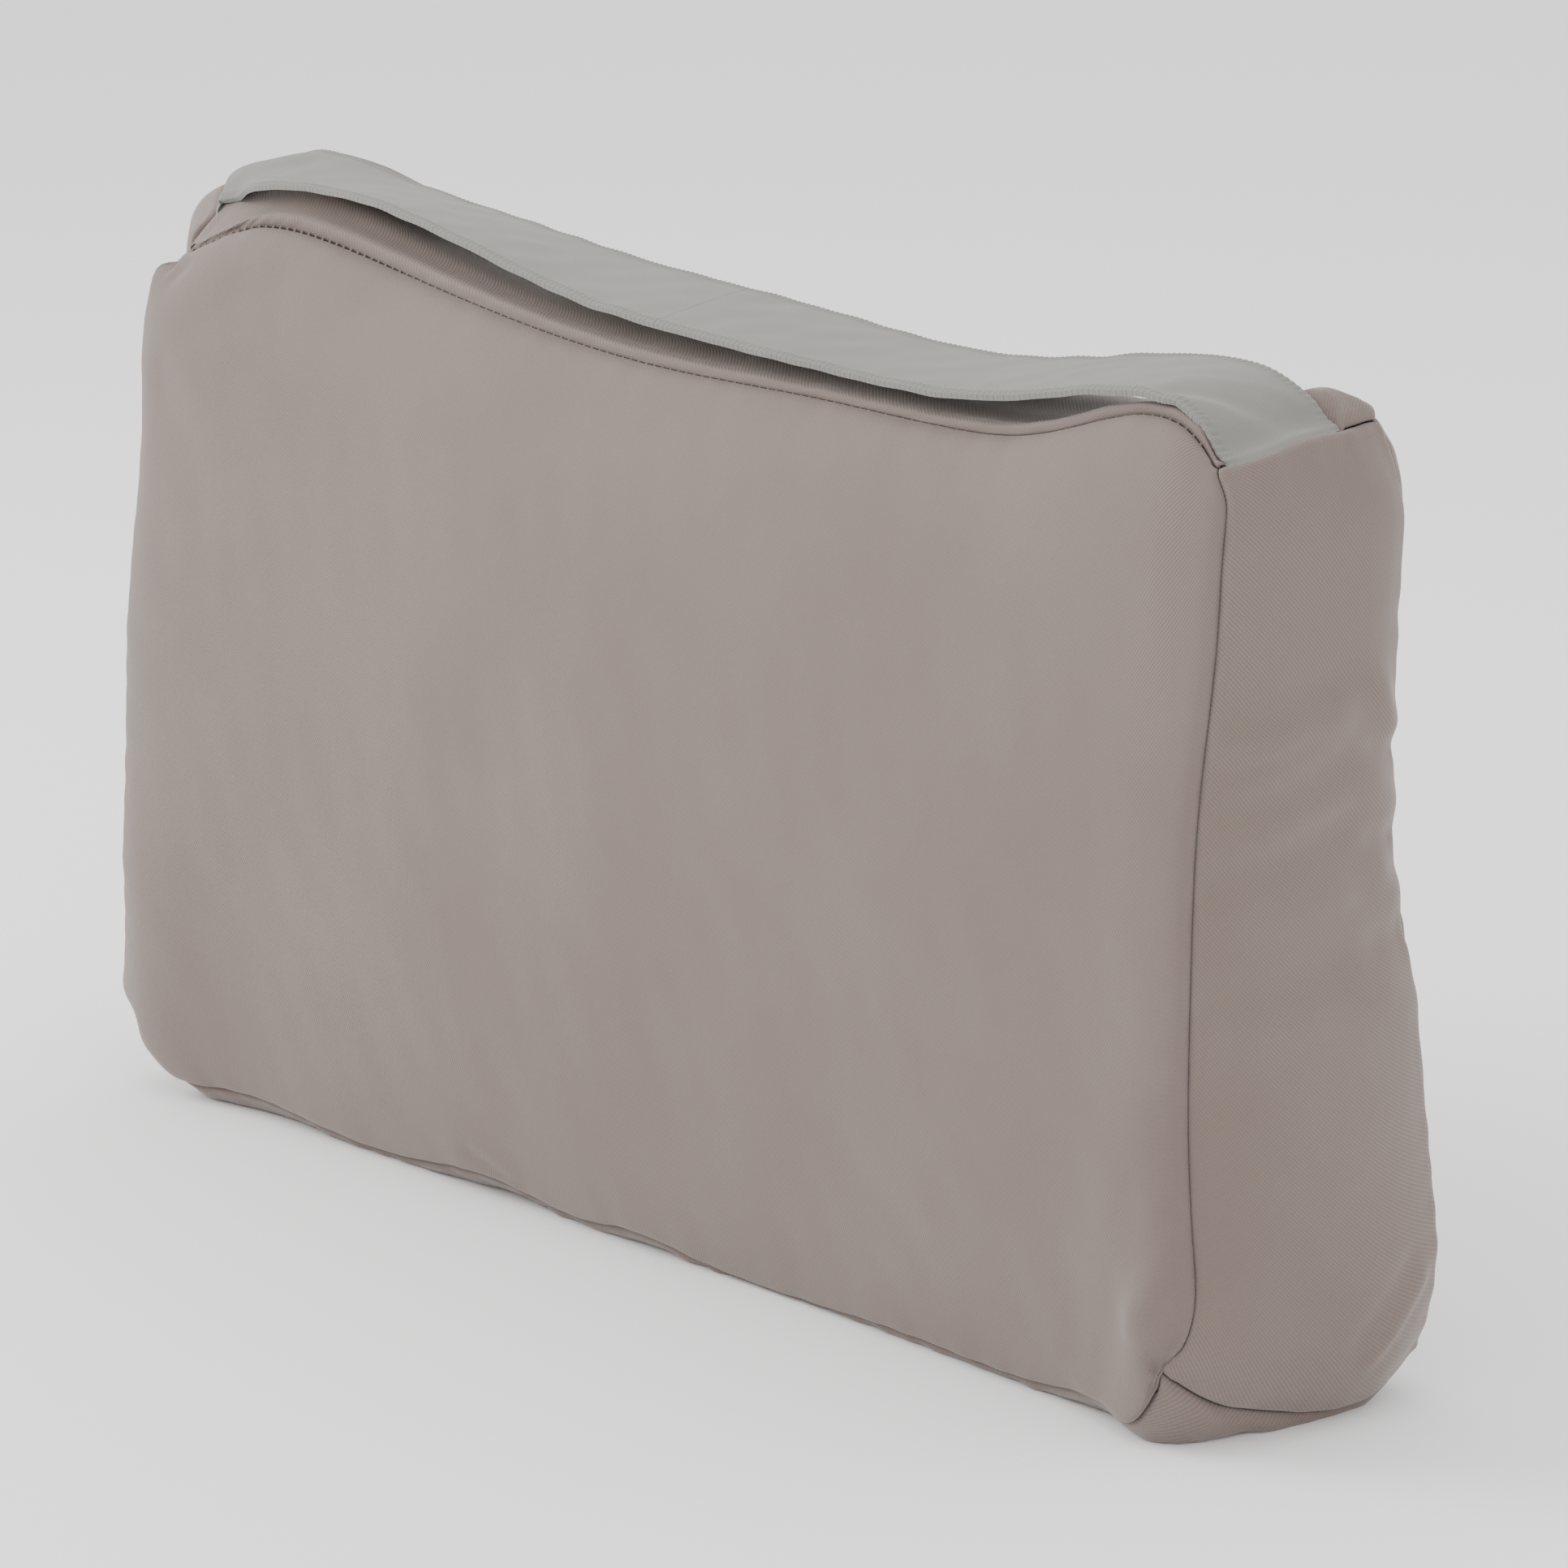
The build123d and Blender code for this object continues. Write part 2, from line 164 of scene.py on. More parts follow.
# ---------------- seams of the stuffed cover
# Depths and heights in millimetres, relative to the straight seam between two corners.
TOP_FRONT_SEAM = [  # x, depth, height
    (-198, 0, -3), (-186, 0, 0), (-166, 1, 7), (-134, 2, 8), (-94, 2, 2), (-30, 2, -6.5),
    (0, 2, -8.5), (60, 2, -9), (105, 2, -10), (126, 2, -9), (144, 1.5, -5), (176, 1, 1.5),
    (185, 0, -1), (190, -0.5, -4), (198, -1, -7),
]
TOP_BACK_SEAM = [
    (-198, 0, -1), (-180, 0, 6), (-150, 0, 9), (-106, 1, 7), (-57, 1, 2), (-13, 1, -0.5),
    (14, 1, -2), (56, 1, -6), (120, 0, -8), (165, 1, -7), (186, 2, -4), (198, -2, -5),
]
BOTTOM_FRONT_SEAM = [
    (-198, -4, 12), (-189, -4, 3), (-165, 0, -1), (-120, 4, -3.8), (-90, 5, -4.0), (-52, 4, -1),
    (-36, 6, -3.4), (-20, 6, -4.2), (2, 5, -2), (24, 7, -4.4), (100, 7, -4.2), (150, 5, -3.2),
    (174, 1, -1.5), (188, -3, 0), (198, -4, 13),
]
BOTTOM_BACK_SEAM = [
    (-198, 0, 6), (-186, 1, -2), (-120, 2, -3), (0, 2, -2), (120, 2, -3), (186, 1, -2),
    (198, 1, 3),
]
# Round each end, from the bottom (0) to the top (1000): how far out, and depth.
END_FRONT_SEAM = {
    LEFT: [(0, 4, 0), (30, 9, -1), (90, 8.9, -2), (220, 6.2, -5), (350, 5.4, -6), (560, 6.9, -6),
           (820, 8.3, -3), (930, 9.5, -2), (1000, 4, 0)],
    RIGHT: [(0, -2, 0), (50, 3, 2), (130, 4, 1), (300, 5, -5), (450, 5, -7), (650, 5, -8),
            (820, 4, -5), (930, 1, -2), (1000, 0, 0)],
}
END_BACK_SEAM_LOW = [(0, -1, 0), (100, 3, 1.8), (400, 4, 3.8), (750, 5, 1), (1000, 4, -2.5)]
END_BACK_SEAM_HIGH = [
    (0, 4, -2.5), (300, 5, -2.4), (550, 5, 0.2), (730, 4, 3.4), (860, 3, 4.6), (930, 2, 2.2),
    (1000, 0, 0),
]
# Across each end, from the front (0) to the back (1000): how far out, and height.
END_TOP_SEAM = {
    LEFT: [(0, 0, 0), (60, -6, 4), (120, -10, 9), (170, -11, 11.5), (240, -8.5, 13.5),
           (330, -4.5, 15), (450, -3.5, 16.5), (600, -3.5, 17), (750, -3.5, 16), (900, -1.5, 8),
           (1000, 0, 0)],
    RIGHT: [(0, 0, 0), (120, 1, 1.5), (300, 1.5, 2.8), (650, 1.5, 3.2), (900, 1, 1),
            (1000, 0, 0)],
}
END_BOTTOM_SEAM = [(0, 0, 0), (150, 1, -6.5), (400, 2, -11), (800, 2, -9.5), (1000, 0, 0)]
TOP_DEPTH, END_DEPTH = 43 * MM, 58 * MM     # from front to back, measured over the stuffing
# How far each face stands out from its seams, in millimetres: at its shoulders, the width of
# the shoulders, and what is added towards its middle.
STUFFING = {"front": (7.5, 34, 4), "back": (4.5, 26, 2), "top": (1.5, 12, 0), "end": (3.5, 16, 2)}
BOTTOM_SAG, BOTTOM_SHOULDER = 6 * MM, 48 * MM
END_ROLL_OUT, END_ROLL_UP = 11 * MM, 2 * MM  # the fat roll below the left end's top seam
END_SEAM_FADE = 65          # how far along the top the raised left end seam reaches, in mm
# Local pulls on the stuffed cover: the corner that each is measured from, the place beside
# it, how far the cloth is moved there, and the reach of the pull, in millimetres.
LEFT_TOP_FRONT, RIGHT_TOP_FRONT = (0, 0, -1), (-1, 0, -1)
RIGHT_TOP_BACK = (-1, -1, -1)
LEFT_LOW_FRONT, RIGHT_LOW_FRONT = (0, 0, 0), (-1, 0, 0)
PULLS = [
    (LEFT_TOP_FRONT, (-5, -1, -4), (-2, -1.5, 5), 6.5),
    (LEFT_TOP_FRONT, (0, 0, 0), (8, 2, -3), 4.5),
    (RIGHT_TOP_BACK, (-10, -7, 1), (1, 1, 6), 7),
    (RIGHT_TOP_BACK, (-3, -2, 2), (1, 1, 3), 6),
    (RIGHT_TOP_BACK, (-5, 4, -7), (1.5, 3, 1), 7),
    (RIGHT_TOP_FRONT, (0, 0, 0), (-4, -0.5, 0), 5),
    (RIGHT_LOW_FRONT, (-2, -2, 12), (0, -2, 0), 9),
    (RIGHT_LOW_FRONT, (0, 0, 1), (-3, 2, 0), 5),
    (LEFT_LOW_FRONT, (0, 0, 1), (3, 2, 0), 5),
]

# ---------------- the stuffed cover
COUNT_X, COUNT_Y, COUNT_Z = 107, 19, 61
ZIP_ROW = 32
GRID_X, GRID_Y, GRID_Z = crowded(COUNT_X), crowded(COUNT_Y), crowded(COUNT_Z)
GRID_Z_LOW = GRID_Z[: ZIP_ROW + 1] / GRID_Z[ZIP_ROW]
GRID_Z_HIGH = (GRID_Z[ZIP_ROW:] - GRID_Z[ZIP_ROW]) / (1 - GRID_Z[ZIP_ROW])


def long_edge(y_z, offsets):
    """A seam along X at the given depth and height, plus its offsets."""
    line = np.zeros((COUNT_X, 3))
    line[:, X] = (2 * GRID_X - 1) * HALF_WIDTH
    line[:, Y:] = y_z
    line[:, Y:] += through(offsets, line[:, X])
    return line


def end_edge(start, end, t, offsets, side, other_axis):
    """An end seam from start to end; offsets are (thousandths, out, along the other axis)."""
    line = start + (end - start) * t[:, None]
    extra = through(offsets, t)
    line[:, X] += side * extra[:, 0]
    line[:, other_axis] += extra[:, 1]
    return line


def coons(bottom, top, left, right, u, v):
    """The surface between four seams: bottom and top run along u, left and right along v."""
    u = u[:, None, None]
    v = v[None, :, None]
    across = (1 - v) * bottom[:, None] + v * top[:, None]
    up = (1 - u) * left[None] + u * right[None]
    corners = (
        (1 - u) * (1 - v) * bottom[0] + u * (1 - v) * bottom[-1]
        + (1 - u) * v * top[0] + u * v * top[-1]
    )
    return across + up - corners


def roll(t, length, width):
    """How a stuffed panel rises from the seams at its two ends: steep at first, then level."""
    distance = np.minimum(t, 1 - t) * length
    width = min(width, length / 2)
    return np.sqrt(1 - (1 - np.clip(distance / width, 0, 1)) ** 2)


def swell(t):
    return np.sin(math.pi * t)


def shoulder(u, v, size, width):
    """A rounded shoulder along all four seams of a panel."""
    return roll(u, size[0], width)[:, None] * roll(v, size[1], width)[None, :]


def dome(u, v):
    return swell(u)[:, None] * swell(v)[None, :]


def stuff(surface, axis, sign, face, u, v, size):
    """Stand a face of the cover out from its seams."""
    depth, width, crown = STUFFING[face]
    surface[..., axis] += sign * depth * MM * shoulder(u, v, size, width * MM)
    surface[..., axis] += sign * crown * MM * dome(u, v)


def end_roll(height):
    """How the left end puffs out and up just below its top seam."""
    down, back = (1 - GRID_Z)[None, :] * height, GRID_Y[:, None] * END_DEPTH
    inside = 1 - bell(back, 9)
    out = END_ROLL_OUT * (1 - bell(down, 5)) * bell(down, 20) * inside
    up = END_ROLL_UP * bell(down, 4, centre=4) * (1 - bell(down, 1)) * inside
    return np.stack([LEFT * out, 0 * out, up], axis=-1)


def end_seams(side, i, front_top, back_top, front_bottom, back_bottom, zip_line):
    """The four seams round one end of the cover."""
    low = end_edge(back_bottom[i], zip_line[i], GRID_Z_LOW, END_BACK_SEAM_LOW, side, Y)
    high = end_edge(zip_line[i], back_top[i], GRID_Z_HIGH, END_BACK_SEAM_HIGH, side, Y)
    low[:, X] -= side * ZIP_OUT * GRID_Z_LOW
    high[:, X] -= side * ZIP_OUT * (1 - GRID_Z_HIGH)
    return {
        "front": end_edge(front_bottom[i], front_top[i], GRID_Z, END_FRONT_SEAM[side], side, Y),
        "back": np.vstack([low, high[1:]]),
        "top": end_edge(front_top[i], back_top[i], GRID_Y, END_TOP_SEAM[side], side, Z),
        "bottom": end_edge(front_bottom[i], back_bottom[i], GRID_Y, END_BOTTOM_SEAM, side, Z),
    }


def cover_lattice():
    """The stuffed cover as points on the surface of a box lattice, [i, j, k]."""
    front_top = long_edge(FRONT_TOP, TOP_FRONT_SEAM)
    back_top = long_edge(BACK_TOP, TOP_BACK_SEAM)
    front_bottom = long_edge(FRONT_BOTTOM, BOTTOM_FRONT_SEAM)
    back_bottom = long_edge(BACK_BOTTOM, BOTTOM_BACK_SEAM)
    zip_line = long_edge(np.array([ZIP_Y, ZIP_HEIGHT]), [(-198, 0, 0), (198, 0, 0)])
    zip_line[:, X] *= (HALF_WIDTH + ZIP_OUT) / HALF_WIDTH
    long_seams = (front_top, back_top, front_bottom, back_bottom, zip_line)
    left, right = end_seams(LEFT, 0, *long_seams), end_seams(RIGHT, -1, *long_seams)
    length, height = 2 * HALF_WIDTH, FRONT_TOP[1]

    front = coons(front_bottom, front_top, left["front"], right["front"], GRID_X, GRID_Z)
    stuff(front, Y, -1, "front", GRID_X, GRID_Z, (length, height))

    below, above = slice(0, ZIP_ROW + 1), slice(ZIP_ROW, None)
    back_left, back_right = left["back"], right["back"]
    low = coons(back_bottom, zip_line, back_left[below], back_right[below], GRID_X, GRID_Z_LOW)
    high = coons(zip_line, back_top, back_left[above], back_right[above], GRID_X, GRID_Z_HIGH)
    stuff(low, Y, 1, "back", GRID_X, GRID_Z_LOW, (length, ZIP_HEIGHT))
    stuff(high, Y, 1, "back", GRID_X, GRID_Z_HIGH, (length, height - ZIP_HEIGHT))

    top = coons(front_top, back_top, left["top"], right["top"], GRID_X, GRID_Y)
    raised = through(END_TOP_SEAM[LEFT], GRID_Y)[None, :, 1]
    fade = bell(GRID_X * length, END_SEAM_FADE) - (1 - GRID_X)
    top[..., Z] += raised * fade[:, None]
    stuff(top, Z, 1, "top", GRID_X, GRID_Y, (length, TOP_DEPTH))

    bottom = coons(front_bottom, back_bottom, left["bottom"], right["bottom"], GRID_X, GRID_Y)
    lifted = 1 - 0.75 * bell(bottom[..., X], 20, centre=-52)
    sag = BOTTOM_SAG * roll(GRID_X, length, BOTTOM_SHOULDER)[:, None] * swell(GRID_Y)
    bottom[..., Z] -= sag * lifted

    grid = np.zeros((COUNT_X, COUNT_Y, COUNT_Z, 3))
    grid[:, 0, :] = front
    grid[:, -1, :ZIP_ROW] = low[:, :-1]
    grid[:, -1, ZIP_ROW:] = high
    grid[:, 1:-1, -1] = top[:, 1:-1]
    grid[:, 1:-1, 0] = bottom[:, 1:-1]
    for i, side, seams in ((0, LEFT, left), (-1, RIGHT, right)):
        end = coons(seams["bottom"], seams["top"], seams["front"], seams["back"], GRID_Y, GRID_Z)
        stuff(end, X, side, "end", GRID_Y, GRID_Z, (END_DEPTH, height))
        grid[i] = end + (end_roll(height) if side == LEFT else 0)
    centres = [grid[corner] + np.array(off) * MM for corner, off, _, _ in PULLS]
    for centre, (_, _, move, reach) in zip(centres, PULLS):
        near = bell(np.linalg.norm(grid - centre, axis=-1), reach)
        grid += near[..., None] * np.array(move) * MM
    return grid


ALL = slice(None)
# Each panel: its slice of the lattice with u first and v second, whether u x v points out, the
# world axes that it is drawn in, grid steps in mm, its unevenness in mm (broad, fine, puckers
# at the seams, and the ridge of the seam allowance), and which cloth it is cut from.
PANELS = {
    "front_panel": ((ALL, 0, ALL), True, (X, Z), (1.6, 2.0), (0.45, 0.08, 0.22, 0.15), "front"),
    "back_panel_lower": ((ALL, -1, slice(0, ZIP_ROW + 1)), False, (X, Z), (2.0, 2.0),
                         (0.6, 0.15, 0.3, 0.15), "back"),
    "back_panel_upper": ((ALL, -1, slice(ZIP_ROW, None)), False, (X, Z), (2.0, 2.0),
                         (0.6, 0.15, 0.3, 0.15), "back"),
    "top_gusset": ((ALL, ALL, -1), True, (X, Y), (1.5, 1.5), (0.4, 0.12, 0.3, 0.2), "boxing"),
    "bottom_gusset": ((ALL, ALL, 0), False, (X, Y), (2.4, 2.4), (0.4, 0.1, 0.4, 0.2), "mirrored"),
    "left_gusset": ((0, ALL, ALL), False, (Y, Z), (1.4, 1.6), (0.5, 0.12, 0.4, 0.35), "mirrored"),
    "right_gusset": ((-1, ALL, ALL), True, (Y, Z), (1.2, 1.4), (0.3, 0.08, 0.3, 0.35), "boxing"),
}


def grid_faces(index, outward):
    """Quads of a grid of vertex numbers."""
    a, b = index[:-1, :-1], index[1:, :-1]
    c, d = index[1:, 1:], index[:-1, 1:]
    quads = np.stack([a, b, c, d] if outward else [a, d, c, b], axis=-1)
    return quads.reshape(-1, 4)


def lattice_surface():
    """A mask of the surface points, quads between them, and the numbers of those on seams."""
    panels = np.zeros((COUNT_X, COUNT_Y, COUNT_Z), int)
    for place, *_ in PANELS.values():
        panels[place] += 1
    surface = panels > 0
    numbers = np.full(surface.shape, -1)
    numbers[surface] = np.arange(surface.sum())
    faces = np.vstack([grid_faces(numbers[place], out) for place, out, *_ in PANELS.values()])
    return surface, faces, numbers[panels > 1]


def placed(name, data):
    piece = bpy.data.objects.new(name, data)
    bpy.context.scene.collection.objects.link(piece)
    return piece


def new_object(name, points, faces):
    mesh = bpy.data.meshes.new(name)
    mesh.from_pydata(points.tolist(), [], faces if isinstance(faces, list) else faces.tolist())
    mesh.update()
    return placed(name, mesh)


def smoothed(piece):
    """The piece with its faces smooth shaded."""
    polygons = piece.data.polygons
    polygons.foreach_set("use_smooth", np.ones(len(polygons), bool))
    return piece


def mesh_points(mesh):
    flat = np.empty(len(mesh.vertices) * 3)
    mesh.vertices.foreach_get("co", flat)
    return flat.reshape(-1, 3)


SIMULATED_FRAMES = 22
SIMULATED_CAP = 2.5 * MM
CLOTH_SETTINGS = dict(
    quality=6, mass=0.25, tension_stiffness=14, compression_stiffness=10, shear_stiffness=5,
    bending_stiffness=10, use_pressure=True, uniform_pressure_force=1.4, shrink_min=0,
    vertex_group_mass="held", pin_stiffness=1.0,
)


def simulate(grid):
    """Inflate the sewn cover as cloth with its seams held, and return the new lattice."""
    surface, faces, on_seams = lattice_surface()
    start = grid[surface]
    piece = new_object("cover_simulation", start, faces)
    held = piece.vertex_groups.new(name="held")
    held.add(on_seams.tolist(), 1.0, "REPLACE")
    cloth = piece.modifiers.new("cloth", "CLOTH")
    for setting, value in CLOTH_SETTINGS.items():
        setattr(cloth.settings, setting, value)
    cloth.settings.effector_weights.gravity = 0
    cloth.collision_settings.use_collision = False
    cloth.point_cache.frame_start = 1
    cloth.point_cache.frame_end = SIMULATED_FRAMES
    for number in range(1, SIMULATED_FRAMES + 1):
        bpy.context.scene.frame_set(number)
    shown = piece.evaluated_get(bpy.context.evaluated_depsgraph_get())
    settled = mesh_points(shown.to_mesh())
    shown.to_mesh_clear()
    bpy.context.scene.frame_set(1)
    bpy.data.meshes.remove(piece.data)
    moved = settled - start
    far = np.maximum(np.linalg.norm(moved, axis=1, keepdims=True), 1e-9)
    moved *= SIMULATED_CAP * np.tanh(far / SIMULATED_CAP) / far
    result = grid.copy()
    result[surface] = start + moved
    return result


grid = cover_lattice()
grid = simulate(grid)
grid[..., Z] = np.maximum(grid[..., Z], 0)


# ---------------- strap
STRAP_THICKNESS = 1.2 * MM
STRAP_Y = STRAP_BOX[LOW, Y]
STRAP_WIDTH = STRAP_BOX[HIGH, Y] - STRAP_BOX[LOW, Y]
STRAP_ARCH = 0.5 * MM       # the tape is a little higher in the middle of its width
STRAP_GAP = 0.35 * MM       # between the tape and the gusset where it rests
STRAP_CURL = 6 * MM         # how far its front edge curls back at the left end
STRAP_FRONT_EDGE = [  # x, height
    (-197, 236.5), (-187, 238.8), (-179, 240.2), (-170, 243.2), (-157, 245.8), (-138, 246.8),
    (-116, 246.2), (-97, 243.6), (-77, 239.8), (-31, 231), (6, 227.5), (59, 225), (100, 224),
    (124, 226), (145, 229.5), (168, 232), (182, 230), (190, 225.5), (195, 221.5), (199, 219),
]
STRAP_BACK_EDGE = [
    (-197, 245), (-193, 246.2), (-187, 247.6), (-180, 249.3), (-173, 250.4), (-165, 250.4),
    (-155, 249.3), (-137, 246.3), (-90, 241), (-47, 236.5), (-3, 233.5), (40, 230.5), (80, 228),
    (105, 229), (149, 235), (165, 236), (178, 235), (189, 231), (196, 226.5), (199, 224.5),
]
STRAP_CREASES = [  # x, depth, x, depth, width, height
    (174, -14, 190, -4, 2.6, -0.9), (179, -17, 193, -9, 2.2, 0.7), (170, -8, 188, 3, 2.4, 0.5),
    (184, 0, 195, 5, 2.0, -0.5), (-188, -12, -170, -2, 3.5, -0.5),
]


def eased(t):
    t = np.clip(t, 0, 1)
    return t * t * (3 - 2 * t)


def strap_depth(x, across):
    """Where the strap lies along Y: its front edge curls back at the left end."""
    curl = STRAP_CURL * eased((-x - 160 * MM) / (28 * MM))
    return STRAP_Y + across * STRAP_WIDTH + curl * (1 - across)


def end_seam_at(i, depth):
    """X and height of the seam at the top of one end, at the given depth."""
    seam = grid[i, :, -1]
    y = np.maximum.accumulate(seam[:, Y])
    return np.interp(depth, y, seam[:, X]), np.interp(depth, y, seam[:, Z])


def strap_height(x, across):
    """Top of the strap at x, where across runs from 0 at its front edge to 1 at its back."""
    front = through(STRAP_FRONT_EDGE, x)[..., 0]
    back = through(STRAP_BACK_EDGE, x)[..., 0]
    depth = strap_depth(x, across)
    droop = 1 + 2.2 * eased((-x - 164 * MM) / (26 * MM))
    height = back + (front - back) * (1 - across) ** droop + STRAP_ARCH * swell(across)
    height = height + sum(crease(x, depth, line) for line in STRAP_CREASES)
    for i, side, stretch in ((0, LEFT, 2 * MM), (-1, RIGHT, 9 * MM)):
        end_x, end_height = end_seam_at(i, depth)
        sewn = eased(1 - side * (end_x - x) / stretch)
        height = height + (end_height + 0.3 * MM - height) * sewn
    return height


def under_strap(points):
    """Press gusset points down to just below the strap."""
    front = strap_depth(points[..., X], 0)
    across = (points[..., Y] - front) / (STRAP_Y + STRAP_WIDTH - front)
    limit = strap_height(points[..., X], np.clip(across, 0, 1)) - STRAP_THICKNESS - STRAP_GAP
    beside = np.maximum(np.maximum(-across, across - 1), 0) * STRAP_WIDTH
    points[..., Z] = np.minimum(points[..., Z], limit + 2.5 * beside)
    return points


grid[1:-1, 1:-1, -1] = under_strap(grid[1:-1, 1:-1, -1])

# ---------------- panels
def grid_normals(points, outward=True):
    normal = np.cross(np.gradient(points, axis=0), np.gradient(points, axis=1))
    normal /= np.maximum(np.linalg.norm(normal, axis=-1, keepdims=True), 1e-12)
    return normal if outward else -normal


def lengths_along(points, axis):
    """Mean distance along a grid axis, starting at 0."""
    step = np.linalg.norm(np.diff(points, axis=axis), axis=-1)
    return np.concatenate([[0], np.cumsum(step.mean(axis=1 - axis))])


def closed_sheet(name, outer, outward, thickness=CLOTH_THICKNESS, inner=None):
    """A closed thin mesh from a grid: the outer side, the inner side and a rim."""
    if inner is None:
        inner = outer - grid_normals(outer, outward) * thickness
    inner[..., Z] = np.maximum(inner[..., Z], 0)
    count_u, count_v = outer.shape[:2]
    index = np.arange(count_u * count_v).reshape(count_u, count_v)
    rim = np.concatenate([index[:-1, 0], index[-1, :-1], index[:0:-1, -1], index[0, :0:-1]])
    after = np.roll(rim, -1)
    side = np.stack([rim, rim + index.size, after + index.size, after], axis=-1)
    if not outward:
        side = side[:, ::-1]
    faces = np.vstack([
        grid_faces(index, outward), grid_faces(index + index.size, not outward), side
    ])
    piece = new_object(name, np.vstack([outer.reshape(-1, 3), inner.reshape(-1, 3)]), faces)
    mesh = piece.data
    along_u, along_v = lengths_along(outer, 0), lengths_along(outer, 1)
    flat = np.stack(np.meshgrid(along_u, along_v, indexing="ij"), axis=-1).reshape(-1, 2)
    loops = np.empty(len(mesh.loops), int)
    mesh.loops.foreach_get("vertex_index", loops)
    cut = mesh.uv_layers.new(name="cut")
    cut.data.foreach_set("uv", np.vstack([flat, flat])[loops].ravel())
    smooth = np.ones(len(faces), bool)
    smooth[len(faces) - len(side):] = False
    mesh.polygons.foreach_set("use_smooth", smooth)
    mesh.update()
    return piece


def outward_directions():
    """Outward directions at the lattice's surface points, averaged across the seams."""
    total = np.zeros(grid.shape)
    for place, outward, *_ in PANELS.values():
        total[place] += grid_normals(grid[place], outward)
    return total / np.maximum(np.linalg.norm(total, axis=-1, keepdims=True), 1e-9)


OUTWARD = outward_directions()
NEAR_SEAM = np.array([0, 0.25, 0.6, 1.1, 1.8, 2.8, 4.2, 6.0]) * MM
GROOVE = np.array([(0, 2.0), (0.25, 0.95), (0.6, 0.36), (1.1, 0.1), (1.8, 0.0)]) * MM
# how far the top front seam is pulled open along its length: x, share
SEAM_OPEN = np.array([(-0.18, -0.125, -0.085, 0.15, 0.178), (1, 1, 0.4, 0.35, 1)])
END_SEAMS_OPEN = 0.4
ZIP_BESIDE = 16 * MM        # as far as this from the zip, the back stays outside the tapes
# soft folds: start and end in the panel's axes, width and height, in millimetres
END_FOLDS = [
    (-28, 165, -2, 171, 5, -1.5), (-31, 158, 1, 165, 3.5, 1.2), (-31, 154, -10, 158, 2.5, -0.7),
    (-30, 150, 0, 160, 4, 0.5), (-29, 144, 1, 153, 5, -1.4), (-32, 138, 0, 146, 4, 1.0),
    (-35, 130, -1, 138, 5, -1.4), (-32, 121, 0, 124, 5, 1.2), (-33, 106, 0, 108, 5.5, -1.0),
    (-30, 97, -8, 97, 5, 0.8), (-30, 74, -12, 75, 5, 0.5), (16, 167, 20, 160, 4, 1.5),
    (13, 146, 19, 143, 6, 1.5), (17, 126, 22, 122, 5, 1.5), (14, 155, 22, 154, 3, -1.0),
    (14, 135, 22, 134, 3, -1.0), (17, 112, 25, 112, 4, -1.0), (20, 98, 27, 96, 5, 1.0),
    (19, 17, 33, 30, 2.5, 1.0), (15, 22, 29, 35, 3, -0.7),
]
FOLDS = {
    "front_panel": [
        (-188, 222, -193, 219, 1.6, -0.8), (-180, 206, -150, 222, 9, -0.7),
        (-120, 215, -60, 190, 14, 0.7), (-40, 200, 60, 214, 12, -0.6),
        (188, 30, 196, 44, 4, 1.0), (176, 20, 190, 60, 6, -0.7), (-60, 11, -44, 5, 2.5, -0.7),
        (60, 60, 150, 150, 22, 0.8), (-150, 60, -60, 120, 24, -0.6),
    ],
    "top_gusset": [
        (189, 15, 197, 17, 1.2, -0.9), (-150, 0, -60, 2, 8, -1.6), (100, -2, 160, 0, 7, -1.2),
    ],
    "bottom_gusset": [(176, -22, 196, -10, 3, -0.8), (182, -30, 197, -22, 2, 0.6)],
    "right_gusset": END_FOLDS,
    "left_gusset": [(y, z - 9, y1, z1 - 13, *size) for y, z, y1, z1, *size in END_FOLDS],
    "back_panel_upper": [
        (-150, 215, -100, 150, 12, 0.8), (-20, 210, 10, 140, 14, -0.8),
        (120, 212, 150, 150, 10, 0.7),
    ],
    "back_panel_lower": [
        (-130, 110, -150, 40, 14, 0.8), (0, 112, 20, 50, 16, -0.8), (140, 108, 120, 40, 12, 0.8),
    ],
}
# the roll along the top beside the front seam: x and height, then its place and width, in mm
TOP_ROLL = [(-198, 0.4), (-170, 1.7), (-60, 1.9), (20, 1.3), (110, 1.1), (150, 1.8), (198, 0.4)]
TOP_ROLL_AT, TOP_ROLL_WIDTH = 4.6, 2.8


def fine_places(start, end, step):
    """Places along a panel, crowded near both ends."""
    edge = NEAR_SEAM[-1]
    count = 2 + int((end - start - 2 * edge) / step)
    inner = np.linspace(start + edge, end - edge, count)
    return np.concatenate([start + NEAR_SEAM[:-1], inner, end - NEAR_SEAM[-2::-1]])


def beside(distance, reach):
    """Fades in just off a seam and out again at its reach."""
    return np.exp(-distance / reach) * (1 - bell(distance, 1))


